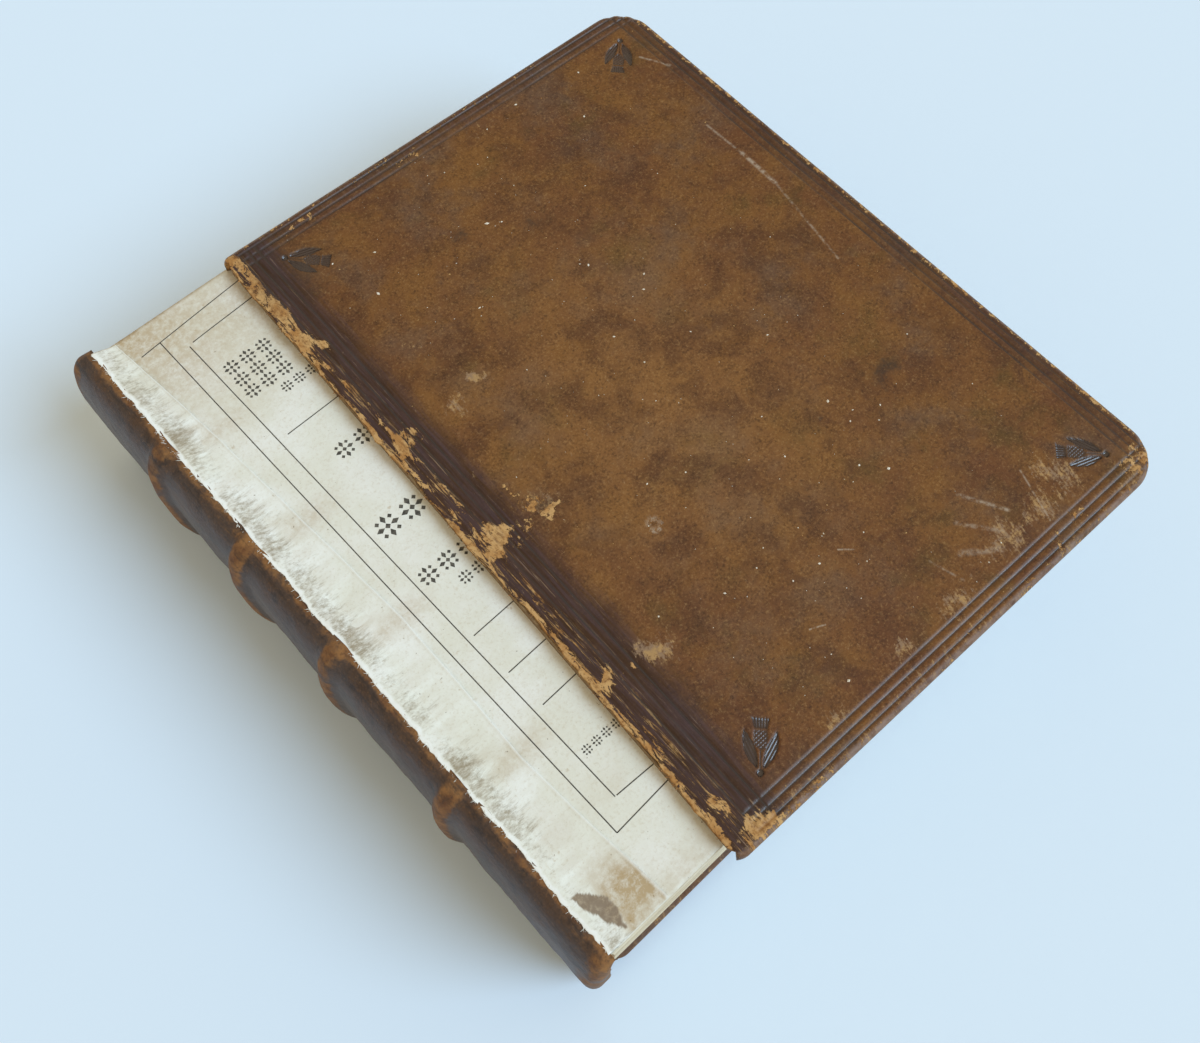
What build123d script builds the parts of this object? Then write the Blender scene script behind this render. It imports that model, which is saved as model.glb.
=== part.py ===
"""Antique leather book: calf over pasteboard, sewn on four raised cords, front board broken off.

The book lies on its rear board. +X runs from the spine to the fore-edge, +Y from tail to head
and +Z up. The origin is the centre of the rear board's outer face. Sizes are in millimetres.
"""
import os

from build123d import *

# Text block
TEXT_WIDTH = 141.0
TEXT_HEIGHT = 194.0
TEXT_THICKNESS = 42.0
TEXT_DROP = 1.6
FORE_EDGE_HOLLOW = 4.0
SHOULDER_RISE = 1.8
SHOULDER_RUN = 2.0
BACK_ROUND = 6.8
BACK_CROWN = 2.2
BACK_CORNER = 5.0

# Torn stub of the front endpaper
STUB_THICKNESS = 0.3
STUB_TAIL_WIDTH = 14.5
STUB_HEAD_WIDTH = 4.0
STUB_MARGIN = 0.4

# Boards and their covers
BOARD_WIDTH = 144.3
BOARD_HEIGHT = 200.0
CORE_THICKNESS = 3.2
COVER_LEATHER = 0.8
CORNER_RADIUS = 11.0
EDGE_ROUND = 1.4
INNER_EDGE_ROUND = 0.3
TURN_IN_WIDTH = 14.0
TURN_IN_THICKNESS = 0.4
PASTEDOWN_THICKNESS = 0.25
PASTEDOWN_MARGIN = 3.0

# Front board: where it lies after breaking off
FRONT_SLIP_X = 32.5
FRONT_SLIP_Y = -5.7
FRONT_TURN = -1.45
FRONT_SPINE_LEAN = 3.4
FRONT_SPINE_CORNER = 3.0

# Blind tooling
FILLET_LINES = 3
FILLET_EDGE = 2.3
FILLET_STEP = 2.2
FILLET_SPINE = 7.1
FILLET_SPINE_STEP = 2.4
FILLET_WIDTH = 0.8
FILLET_DEPTH = 0.3
FILLET_END_GAP = 1.6
TOOL_INSET = 4.0
TOOL_TURN = 45.0
TOOL_DEPTH = 0.35
TOOL_BALL = 0.9
TOOL_STEM_WIDTH = 0.7
TOOL_LENGTH = 12.2
TOOL_BULB_CENTRE = 6.8
TOOL_BULB_WIDTH = 3.9
TOOL_BULB_LENGTH = 4.8
TOOL_NECK_WIDTH = 3.0
TOOL_CROWN_WIDTH = 4.5
TOOL_CROWN_START = 8.6
LEAF_BASE = (0.2, 0.5)
LEAF_BELLY = (4.15, 6.0)
LEAF_TIP = (3.8, 9.3)
LEAF_INNER = (2.5, 5.0)

# Spine
SPINE_LEATHER = 0.9
HEAD_CAP_REACH = 5.0
TAIL_CAP_REACH = 2.7
CAP_THICKNESS = 1.0
CAP_LIP = 3.0
FIRST_BAND_FROM_TAIL = 47.2
SECOND_BAND_FROM_TAIL = 89.1
THIRD_BAND_FROM_TAIL = 123.9
FOURTH_BAND_FROM_TAIL = 158.2
BAND_WIDTH = 8.0
BAND_RISE = 2.1
BAND_SHOULDER = 0.5
BAND_SHOULDER_SHARE = 0.72
CORD_WIDTH = 3.6
CORD_RISE = 1.5
ENDBAND_DEPTH = 3.0

# Clearances
JOINT_GAP = 0.4
REAR_REST_GAP = 0.15

# Places worked out from the sizes above
cover_thickness = COVER_LEATHER + CORE_THICKNESS + PASTEDOWN_THICKNESS
rear_spine_edge = -BOARD_WIDTH / 2
ledge_x = rear_spine_edge - JOINT_GAP
crest_x = ledge_x - SHOULDER_RUN
fore_x = ledge_x + TEXT_WIDTH
text_bottom = cover_thickness + REAR_REST_GAP
text_top = text_bottom + TEXT_THICKNESS
text_middle = (text_bottom + text_top) / 2
crest_low = text_bottom - SHOULDER_RISE
crest_high = text_top + SHOULDER_RISE
text_tail = -TEXT_HEIGHT / 2 - TEXT_DROP
text_head = TEXT_HEIGHT / 2 - TEXT_DROP
cap_tail = text_tail - TAIL_CAP_REACH
cap_head = text_head + HEAD_CAP_REACH
band_places = [
    text_tail + from_tail
    for from_tail in (
        FIRST_BAND_FROM_TAIL,
        SECOND_BAND_FROM_TAIL,
        THIRD_BAND_FROM_TAIL,
        FOURTH_BAND_FROM_TAIL,
    )
]


def along_spine(section, y_from, y_to):
    """Extrude a section drawn in x and z between two places along the spine."""
    return extrude(Plane.XZ.offset(-y_to) * section, y_to - y_from)


def back_section(grow=0.0, shift=0.0):
    """Section of the rounded back outside the crests, grown all round and pushed outwards."""
    low = crest_low - grow
    high = crest_high + grow
    flat = crest_x - (BACK_ROUND - BACK_CROWN) - grow - shift
    outermost = crest_x - BACK_ROUND - grow - shift
    outline = [
        Line((crest_x, low), (flat, low)),
        ThreePointArc((flat, low), (outermost, text_middle), (flat, high)),
        Line((flat, high), (crest_x, high)),
        Line((crest_x, high), (crest_x, low)),
    ]
    face = make_face(outline)
    shoulders = face.vertices().group_by(Axis.X)[0]
    return fillet(shoulders, BACK_CORNER + grow)


def text_block():
    """Sewn leaves as one solid: rounded back, shoulders and a hollow fore-edge."""
    hollow = (fore_x - FORE_EDGE_HOLLOW, text_middle)
    outline = [
        Polyline(
            (fore_x, text_top),
            (ledge_x, text_top),
            (crest_x, crest_high),
            (crest_x, crest_low),
            (ledge_x, text_bottom),
            (fore_x, text_bottom),
        ),
        ThreePointArc((fore_x, text_bottom), hollow, (fore_x, text_top)),
    ]
    section = make_face(outline) + back_section()
    return along_spine(section, text_tail, text_head)


def endpaper_stub():
    """Strip of torn endpaper that lies on the first leaf and climbs the front shoulder."""
    right = ledge_x + max(STUB_TAIL_WIDTH, STUB_HEAD_WIDTH)
    section = make_face(
        Polyline(
            (crest_x, crest_high),
            (ledge_x, text_top),
            (right, text_top),
            (right, text_top + STUB_THICKNESS),
            (ledge_x, text_top + STUB_THICKNESS),
            (crest_x, crest_high + STUB_THICKNESS),
            close=True,
        )
    )
    tail = text_tail + STUB_MARGIN
    head = text_head - STUB_MARGIN
    plan = make_face(
        Polyline(
            (crest_x, tail),
            (ledge_x + STUB_TAIL_WIDTH, tail),
            (ledge_x + STUB_HEAD_WIDTH, head),
            (crest_x, head),
            close=True,
        )
    )
    height = SHOULDER_RISE + STUB_THICKNESS
    return along_spine(section, tail, head) & extrude(Pos(0, 0, text_top) * plan, height)


def sewing_cord(place):
    """Cord across the back of the text block, under one raised band."""
    section = back_section(shift=CORD_RISE) - back_section()
    return along_spine(section, place - CORD_WIDTH / 2, place + CORD_WIDTH / 2)


def endband(text_end, cap_end):
    """Crescent roll between the end of the text block and the leather cap over it."""
    section = back_section() - Pos(ENDBAND_DEPTH, 0) * back_section()
    inner_end = cap_end - CAP_THICKNESS if cap_end > text_end else cap_end + CAP_THICKNESS
    return along_spine(section, min(text_end, inner_end), max(text_end, inner_end))


def raised_band(place):
    """Swelling of the spine leather over one cord, highest at the middle of the back."""
    profile = (
        (-1, 0),
        (-BAND_SHOULDER, BAND_SHOULDER_SHARE),
        (0, 1),
        (BAND_SHOULDER, BAND_SHOULDER_SHARE),
        (1, 0),
    )
    sections = [
        Plane.XZ.offset(-place - across * BAND_WIDTH / 2)
        * back_section(SPINE_LEATHER, rise * BAND_RISE)
        for across, rise in profile
    ]
    return loft(sections, ruled=True)


def spine_leather(cords):
    """Calf over the back: five panels, four raised bands, a head cap and a tail cap."""
    panel = back_section(SPINE_LEATHER)
    edges = [cap_tail]
    for place in band_places:
        edges += [place - BAND_WIDTH / 2, place + BAND_WIDTH / 2]
    edges.append(cap_head)
    leather = raised_band(band_places[0])
    for place in band_places[1:]:
        leather += raised_band(place)
    for y_from, y_to in zip(edges[0::2], edges[1::2]):
        leather += along_spine(panel, y_from, y_to)
    leather -= along_spine(back_section(), cap_tail + CAP_THICKNESS, cap_head - CAP_THICKNESS)
    cap_opening = Pos(CAP_LIP, 0) * back_section()
    leather -= along_spine(cap_opening, cap_tail, cap_head)
    for cord in cords:
        leather -= cord
    return leather


def board_outline(inset, lean, spine_corner=0.0, rounded=True):
    """Plan of a board, x from its spine edge and y from its tail edge."""
    left = 0.0
    right = BOARD_WIDTH - inset
    low = inset
    high = BOARD_HEIGHT - inset
    face = make_face(
        Polyline((left, low), (right, low), (right, high), (left + lean, high), close=True)
    )
    if rounded:
        face = fillet(face.vertices().group_by(Axis.X)[-1], CORNER_RADIUS - inset)
    if spine_corner:
        spine_side = face.vertices().filter_by(lambda v: v.X < left + lean + spine_corner)
        face = chamfer(spine_side, spine_corner)
    return face


def thistle():
    """Plan of the corner tool: ball, stem, two leaves, bulb and crown, growing along +Y."""
    leaf = make_face(
        [
            ThreePointArc(LEAF_BASE, LEAF_BELLY, LEAF_TIP),
            ThreePointArc(LEAF_TIP, LEAF_INNER, LEAF_BASE),
        ]
    )
    crown = make_face(
        Polyline(
            (-TOOL_NECK_WIDTH / 2, TOOL_CROWN_START),
            (TOOL_NECK_WIDTH / 2, TOOL_CROWN_START),
            (TOOL_CROWN_WIDTH / 2, TOOL_LENGTH),
            (-TOOL_CROWN_WIDTH / 2, TOOL_LENGTH),
            close=True,
        )
    )
    bulb = Pos(0, TOOL_BULB_CENTRE) * Ellipse(TOOL_BULB_WIDTH / 2, TOOL_BULB_LENGTH / 2)
    stem = Pos(0, TOOL_BULB_CENTRE / 2) * Rectangle(TOOL_STEM_WIDTH, TOOL_BULB_CENTRE)
    return Circle(TOOL_BALL) + stem + bulb + crown + leaf + mirror(leaf, Plane.YZ)


def tooling(lean):
    """Everything pressed into a board's outer face: ruled fillets and corner tools."""
    steps = range(FILLET_LINES)
    left = [FILLET_SPINE + i * FILLET_SPINE_STEP for i in steps]
    right = [BOARD_WIDTH - FILLET_EDGE - i * FILLET_STEP for i in steps]
    low = [FILLET_EDGE + i * FILLET_STEP for i in steps]
    high = [BOARD_HEIGHT - FILLET_EDGE - i * FILLET_STEP for i in steps]
    length = high[0] - low[0]
    width = right[0] - left[0]
    upright = Rectangle(FILLET_WIDTH, length + FILLET_WIDTH)
    level = Rectangle(width + FILLET_WIDTH, FILLET_WIDTH)
    lines = [Pos(x, (low[0] + high[0]) / 2) * upright for x in left + right]
    lines += [Pos((left[0] + right[0]) / 2, y) * level for y in low + high]
    pressed = extrude(Sketch() + lines, FILLET_DEPTH)
    pressed &= extrude(board_outline(FILLET_END_GAP, lean), FILLET_DEPTH)
    stamp = extrude(thistle(), TOOL_DEPTH)
    for x, y, turn in (
        (left[-1] + TOOL_INSET, low[-1] + TOOL_INSET, -TOOL_TURN),
        (right[-1] - TOOL_INSET, low[-1] + TOOL_INSET, TOOL_TURN),
        (right[-1] - TOOL_INSET, high[-1] - TOOL_INSET, 180 - TOOL_TURN),
        (left[-1] + TOOL_INSET, high[-1] - TOOL_INSET, TOOL_TURN - 180),
    ):
        pressed += Pos(x, y, 0) * Rot(0, 0, turn) * stamp
    return pressed


def cover(lean=0.0, spine_corner=0.0):
    """One board: core, leather and pastedown, outer face at z = 0, spine edge at x = 0."""
    outer = board_outline(0.0, lean, spine_corner)
    inner = board_outline(COVER_LEATHER, lean, spine_corner)
    window = board_outline(COVER_LEATHER + TURN_IN_WIDTH, lean, rounded=False)
    core_face = COVER_LEATHER + CORE_THICKNESS
    core = extrude(Pos(0, 0, COVER_LEATHER) * inner, CORE_THICKNESS)
    turn_in = extrude(Pos(0, 0, core_face - TURN_IN_THICKNESS) * (inner - window), TURN_IN_THICKNESS)
    core -= turn_in
    leather = extrude(outer, core_face)
    covered = leather.edges().filter_by(lambda e: e.center().X > lean + spine_corner)
    leather = fillet(covered.group_by(Axis.Z)[0], EDGE_ROUND)
    covered = leather.edges().filter_by(lambda e: e.center().X > lean + spine_corner)
    leather = fillet(covered.group_by(Axis.Z)[-1], INNER_EDGE_ROUND)
    leather -= core
    leather -= tooling(lean)
    pastedown = extrude(
        Pos(0, 0, core_face) * board_outline(PASTEDOWN_MARGIN, lean, spine_corner),
        PASTEDOWN_THICKNESS,
    )
    return {"board": core, "leather": leather, "pastedown": pastedown}


def rear_cover():
    """The attached board, outer face down under the text block."""
    place = Pos(-BOARD_WIDTH / 2, -BOARD_HEIGHT / 2, 0)
    return {f"rear_{name}": place * solid for name, solid in cover().items()}


def front_cover():
    """The broken-off board, outer face up, slipped and turned on the text block."""
    centre = Pos(FRONT_SLIP_X, FRONT_SLIP_Y, text_top + cover_thickness)
    place = centre * Rot(0, 0, FRONT_TURN) * Pos(-BOARD_WIDTH / 2, -BOARD_HEIGHT / 2, 0)
    pieces = cover(FRONT_SPINE_LEAN, FRONT_SPINE_CORNER)
    return {f"front_{name}": place * mirror(solid, Plane.XY) for name, solid in pieces.items()}


def build():
    """All pieces of the book by node name."""
    cords = [sewing_cord(place) for place in band_places]
    nodes = {
        "text_block": text_block(),
        "endpaper_stub": endpaper_stub(),
        "spine_leather": spine_leather(cords),
        "head_endband": endband(text_head, cap_head),
        "tail_endband": endband(text_tail, cap_tail),
    }
    for number, cord in enumerate(cords, start=1):
        nodes[f"sewing_cord_{number}"] = cord
    nodes.update(front_cover())
    nodes.update(rear_cover())
    return nodes


os.makedirs("parts", exist_ok=True)
for node, solid in build().items():
    export_step(solid, f"parts/{node}.step")
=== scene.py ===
"""Looks of an antique calf-bound book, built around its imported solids.

The book lies on its rear board. +X runs from the spine to the fore-edge, +Y from tail to head and
+Z up. Sizes are in millimetres and become metres when a mesh is made.
"""

import logging
import math
from dataclasses import dataclass, field
from enum import Enum
from typing import Callable, Sequence

import bpy
import numpy as np
from mathutils import Matrix
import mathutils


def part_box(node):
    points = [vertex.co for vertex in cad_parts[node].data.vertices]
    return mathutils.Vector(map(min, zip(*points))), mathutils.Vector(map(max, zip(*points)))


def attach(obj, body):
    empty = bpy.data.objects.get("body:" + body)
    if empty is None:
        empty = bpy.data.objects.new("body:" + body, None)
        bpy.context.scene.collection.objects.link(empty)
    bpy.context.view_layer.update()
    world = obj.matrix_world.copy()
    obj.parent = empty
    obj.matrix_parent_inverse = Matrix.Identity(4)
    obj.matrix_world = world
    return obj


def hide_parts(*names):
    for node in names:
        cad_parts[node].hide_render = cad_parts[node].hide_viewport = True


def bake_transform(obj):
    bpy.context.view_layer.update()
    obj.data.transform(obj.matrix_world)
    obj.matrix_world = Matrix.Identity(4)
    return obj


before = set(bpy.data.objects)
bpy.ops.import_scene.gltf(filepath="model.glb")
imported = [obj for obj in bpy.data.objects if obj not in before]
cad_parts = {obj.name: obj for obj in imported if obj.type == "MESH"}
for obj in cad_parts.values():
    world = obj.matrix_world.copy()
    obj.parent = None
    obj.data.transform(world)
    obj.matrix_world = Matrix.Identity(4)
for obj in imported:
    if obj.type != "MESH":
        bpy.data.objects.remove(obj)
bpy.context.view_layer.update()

LOG = logging.getLogger("book")
MM = 0.001
BLOCK = "book_block"
REAR = "rear_cover"
# Places of the raised bands along the spine.
BANDS = (-51.4, -9.5, 25.3, 59.6)
# Back of the text block: its crests, the gutter ledge of the first leaf, how far the crests stand over
# the flat top, how square the rounding is and the share of its depth that the leaves fill.
CREST_X = -74.55
LEDGE_X = -72.55
SHOULDER_RISE = 1.8
BACK_SQUARENESS = 2.7
BACK_SHARE = 0.85
# Step between the seeds of a cloud's layers.
LAYER_SEEDS = 17
Colour = tuple[float, float, float]
Pair = tuple[float, float]
Vector = tuple[float, float, float]


def srgb(red: int, green: int, blue: int) -> Colour:
    """Turn an eight-bit display colour into scene-linear values.

    Args:
        red: Red, 0 to 255.
        green: Green, 0 to 255.
        blue: Blue, 0 to 255.

    Returns:
        Linear red, green and blue.
    """
    def linear(level: int) -> float:
        """Undo the display curve of one channel."""
        share = level / 255
        return share / 12.92 if share <= 0.04045 else ((share + 0.055) / 1.055) ** 2.4

    return linear(red), linear(green), linear(blue)


def node_box(node: str) -> tuple[np.ndarray, np.ndarray]:
    """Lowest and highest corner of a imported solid, in millimetres.

    Args:
        node: Name of the solid.

    Returns:
        The two corners.
    """
    low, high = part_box(node)
    return np.array(low) / MM, np.array(high) / MM


def lattice(column: np.ndarray, row: np.ndarray, seed: int) -> np.ndarray:
    """Fixed random value from 0 to 1 at each whole grid point.

    Args:
        column: Whole-number column of each point.
        row: Whole-number row of each point.
        seed: Chooses the pattern.

    Returns:
        One value for each point.
    """
    mask = 0xFFFFFFFF
    by_column, by_row, by_seed, stir = 374761393, 668265263, 974711, 1274126177
    mixed = column.astype(np.int64) * by_column + row.astype(np.int64) * by_row + seed * by_seed
    mixed = mixed & mask
    mixed = ((mixed ^ (mixed >> 13)) * stir) & mask
    return ((mixed ^ (mixed >> 16)) & 0xFFFFFF) / float(0xFFFFFF)


def soft_noise(x: np.ndarray, y: np.ndarray, cell: float, seed: int) -> np.ndarray:
    """Smooth noise from 0 to 1.

    Args:
        x: First coordinate, in millimetres.
        y: Second coordinate, in millimetres.
        cell: Size of one bump, in millimetres.
        seed: Chooses the pattern.

    Returns:
        One value for each point.
    """
    u, v = np.asarray(x, float) / cell, np.asarray(y, float) / cell
    column, row = np.floor(u), np.floor(v)
    a, b = u - column, v - row
    a, b = a * a * (3 - 2 * a), b * b * (3 - 2 * b)
    low = lattice(column, row, seed) * (1 - a) + lattice(column + 1, row, seed) * a
    high = lattice(column, row + 1, seed) * (1 - a) + lattice(column + 1, row + 1, seed) * a
    return low * (1 - b) + high * b


def cloud(x: np.ndarray, y: np.ndarray, cell: float, seed: int, octaves: int = 4) -> np.ndarray:
    """Layered noise from 0 to 1, with finer and weaker bumps on each layer.

    Args:
        x: First coordinate, in millimetres.
        y: Second coordinate, in millimetres.
        cell: Size of the largest bumps.
        seed: Chooses the pattern.
        octaves: Number of layers.

    Returns:
        One value for each point.
    """
    total, weight, share = 0.0, 0.0, 1.0
    for layer in range(octaves):
        total = total + share * soft_noise(x, y, cell / 2**layer, seed + LAYER_SEEDS * layer)
        weight += share
        share *= 0.5
    return total / weight


def rise(value: np.ndarray, low: float, high: float) -> np.ndarray:
    """Smooth step from 0 at low to 1 at high."""
    share = np.clip((np.asarray(value, float) - low) / (high - low), 0, 1)
    return share * share * (3 - 2 * share)


def fall(value: np.ndarray, low: float, high: float) -> np.ndarray:
    """Smooth step from 1 at low to 0 at high."""
    return rise(-np.asarray(value, float), -high, -low)


def sway(x: np.ndarray, y: np.ndarray, cell: float, seed: int, octaves: int = 4) -> np.ndarray:
    """Layered noise about zero, from -0.5 to 0.5."""
    return cloud(x, y, cell, seed, octaves) - 0.5


def near_bands(y: np.ndarray, width: float, shift: float = 0.0) -> np.ndarray:
    """Closeness to the nearest raised band: 1 beside it, fading along the spine.

    Args:
        y: Places along the spine.
        width: Distance over which it fades.
        shift: How far the middle lies from the band towards the tail.

    Returns:
        One value for each place.
    """
    return np.maximum.reduce([np.exp(-(((y - band + shift) / width) ** 2)) for band in BANDS])


def graded(start: float, stretches: Sequence[Pair]) -> np.ndarray:
    """Places along a line with a step of its own for each stretch.

    Args:
        start: First place.
        stretches: End and step of each stretch, in order.

    Returns:
        The places, ends included.
    """
    places = [np.array([start])]
    for end, step in stretches:
        begin = places[-1][-1]
        count = max(1, round((end - begin) / step))
        places.append(np.linspace(begin, end, count + 1)[1:])
    return np.concatenate(places)


def quads(rows: int, columns: int, wrap: bool = False) -> np.ndarray:
    """Faces of a grid whose points are counted row by row.

    Args:
        rows: Rows of points.
        columns: Points in each row.
        wrap: Whether each row closes on itself.

    Returns:
        Four point numbers for each face.
    """
    index = np.arange(rows * columns).reshape(rows, columns)
    if wrap:
        index = np.hstack([index, index[:, :1]])
    return np.stack([index[:-1, :-1], index[:-1, 1:], index[1:, 1:], index[1:, :-1]], -1).reshape(-1, 4)


def rim_loop(rows: int, columns: int) -> np.ndarray:
    """Point numbers once round the rim of a grid that is counted row by row.

    Args:
        rows: Rows of points.
        columns: Points in each row.

    Returns:
        The numbers in order.
    """
    index = np.arange(rows * columns).reshape(rows, columns)
    return np.concatenate([index[0, :-1], index[:-1, -1], index[-1, :0:-1], index[:0:-1, 0]])


def in_rows(x: np.ndarray, y: np.ndarray, z: np.ndarray) -> np.ndarray:
    """Three sets of coordinates as one point in each row."""
    return np.stack([x.ravel(), y.ravel(), z.ravel()], 1)


def show(name: str, data: bpy.types.ID) -> bpy.types.Object:
    """Make an object of mesh, light or camera data and link it to the scene.

    Args:
        name: Name of the object.
        data: What it shows.

    Returns:
        The new object.
    """
    item = bpy.data.objects.new(name, data)
    bpy.context.scene.collection.objects.link(item)
    return item


def signed_volume(mesh: bpy.types.Mesh) -> float:
    """Volume inside a closed mesh, negative where its faces point inwards.

    Args:
        mesh: The mesh.

    Returns:
        The volume in cubic metres.
    """
    mesh.calc_loop_triangles()
    points = np.zeros(len(mesh.vertices) * 3)
    mesh.vertices.foreach_get("co", points)
    corners = np.zeros(len(mesh.loop_triangles) * 3, np.int32)
    mesh.loop_triangles.foreach_get("vertices", corners)
    a, b, c = points.reshape(-1, 3)[corners.reshape(-1, 3)].transpose(1, 0, 2)
    return float(np.einsum("ij,ij->i", a, np.cross(b, c)).sum() / 6)


def make_piece(
    name: str,
    points: np.ndarray,
    faces: Sequence[Sequence[int]],
    material: bpy.types.Material,
    fields: dict[str, np.ndarray] | None = None,
    smooth: bool = True,
) -> bpy.types.Object:
    """Build a mesh object from points in millimetres, with its faces turned outwards.

    Args:
        name: Name of the piece.
        points: Points, one row each.
        faces: Point numbers of each face.
        material: Finish of the whole piece.
        fields: Values at the points, by attribute name.
        smooth: Whether the faces are shaded as one surface.

    Returns:
        The new object, linked to the scene.
    """
    mesh = bpy.data.meshes.new(name)
    mesh.from_pydata((np.asarray(points, float) * MM).tolist(), [], [list(map(int, f)) for f in faces])
    mesh.validate()
    if signed_volume(mesh) < 0:
        mesh.flip_normals()
    for key, values in (fields or {}).items():
        layer = mesh.attributes.new(key, "FLOAT", "POINT")
        layer.data.foreach_set("value", np.asarray(values, np.float32).ravel())
    mesh.polygons.foreach_set("use_smooth", [smooth] * len(mesh.polygons))
    mesh.materials.append(material)
    mesh.update()
    return show(name, mesh)


def seat(piece: bpy.types.Object, body: str, slot: str, *nodes: str) -> None:
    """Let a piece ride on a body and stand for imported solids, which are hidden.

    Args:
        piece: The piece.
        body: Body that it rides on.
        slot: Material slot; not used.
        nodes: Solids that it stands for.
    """
    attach(piece, body)
    if nodes:
        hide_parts(*nodes)
    LOG.info("%s: %d faces", piece.name, len(piece.data.polygons))


# Middle and half sizes of the lozenges that make up one printed ornament.
PETALS = (
    (0, 0, 0.12, 0.12), (0.32, 0, 0.18, 0.11), (-0.32, 0, 0.18, 0.11), (0, 0.32, 0.11, 0.18),
    (0, -0.32, 0.11, 0.18), (0.29, 0.29, 0.1, 0.1), (-0.29, 0.29, 0.1, 0.1), (0.29, -0.29, 0.1, 0.1),
    (-0.29, -0.29, 0.1, 0.1))


class Template(Enum):
    """Small shapes that are strewn: their points in millimetres and their faces."""

    GRAIN = "grain"
    FIBRE = "fibre"
    FLEURON = "fleuron"
    BEAD = "bead"

    def mesh(self) -> bpy.types.Mesh:
        """Make the shape about its own origin, one millimetre in size.

        Returns:
            The mesh.
        """
        if self is Template.GRAIN:
            points = [(1, 0, 0), (-1, 0, 0), (0, 1, 0), (0, -1, 0), (0, 0, 0.6), (0, 0, -0.6)]
            faces = [(0, 2, 4), (2, 1, 4), (1, 3, 4), (3, 0, 4), (2, 0, 5), (1, 2, 5), (3, 1, 5), (0, 3, 5)]
        elif self is Template.FIBRE:
            ring = [(math.cos(a), math.sin(a)) for a in (0, 2 * math.pi / 3, 4 * math.pi / 3)]
            points = [(0, y, z) for y, z in ring] + [(0.6, y + 2, z + 1) for y, z in ring] + [(1, 3, 3)]
            faces = [(2, 1, 0)] + [(i, (i + 1) % 3, (i + 1) % 3 + 3, i + 3) for i in range(3)]
            faces += [(i + 3, (i + 1) % 3 + 3, 6) for i in range(3)]
        elif self is Template.BEAD:
            turns = [math.pi * i / 4 for i in range(8)]
            rings = [(math.sin(a), math.cos(a)) for a in (0.6, 1.2, 1.94, 2.54)]
            points = [(r * math.cos(t), r * math.sin(t), z) for r, z in rings for t in turns]
            faces = [(8 * k + i, 8 * k + 8 + i, 8 * k + 8 + (i + 1) % 8, 8 * k + (i + 1) % 8)
                     for k in range(3) for i in range(8)]
            faces += [tuple(range(8)), tuple(range(31, 23, -1))]
        else:
            points, faces = [], []
            for x, y, wide, high in PETALS:
                first = len(points)
                for z in (0.0, 1.0):
                    points += [(x + wide, y, z), (x, y + high, z), (x - wide, y, z), (x, y - high, z)]
                faces += [(first + 3, first + 2, first + 1, first), tuple(first + 4 + i for i in range(4))]
                sides = [(first + i, first + (i + 1) % 4) for i in range(4)]
                faces += [(a, b, b + 4, a + 4) for a, b in sides]
        mesh = bpy.data.meshes.new(self.value)
        mesh.from_pydata([tuple(v * MM for v in p) for p in points], [], faces)
        return mesh


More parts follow.
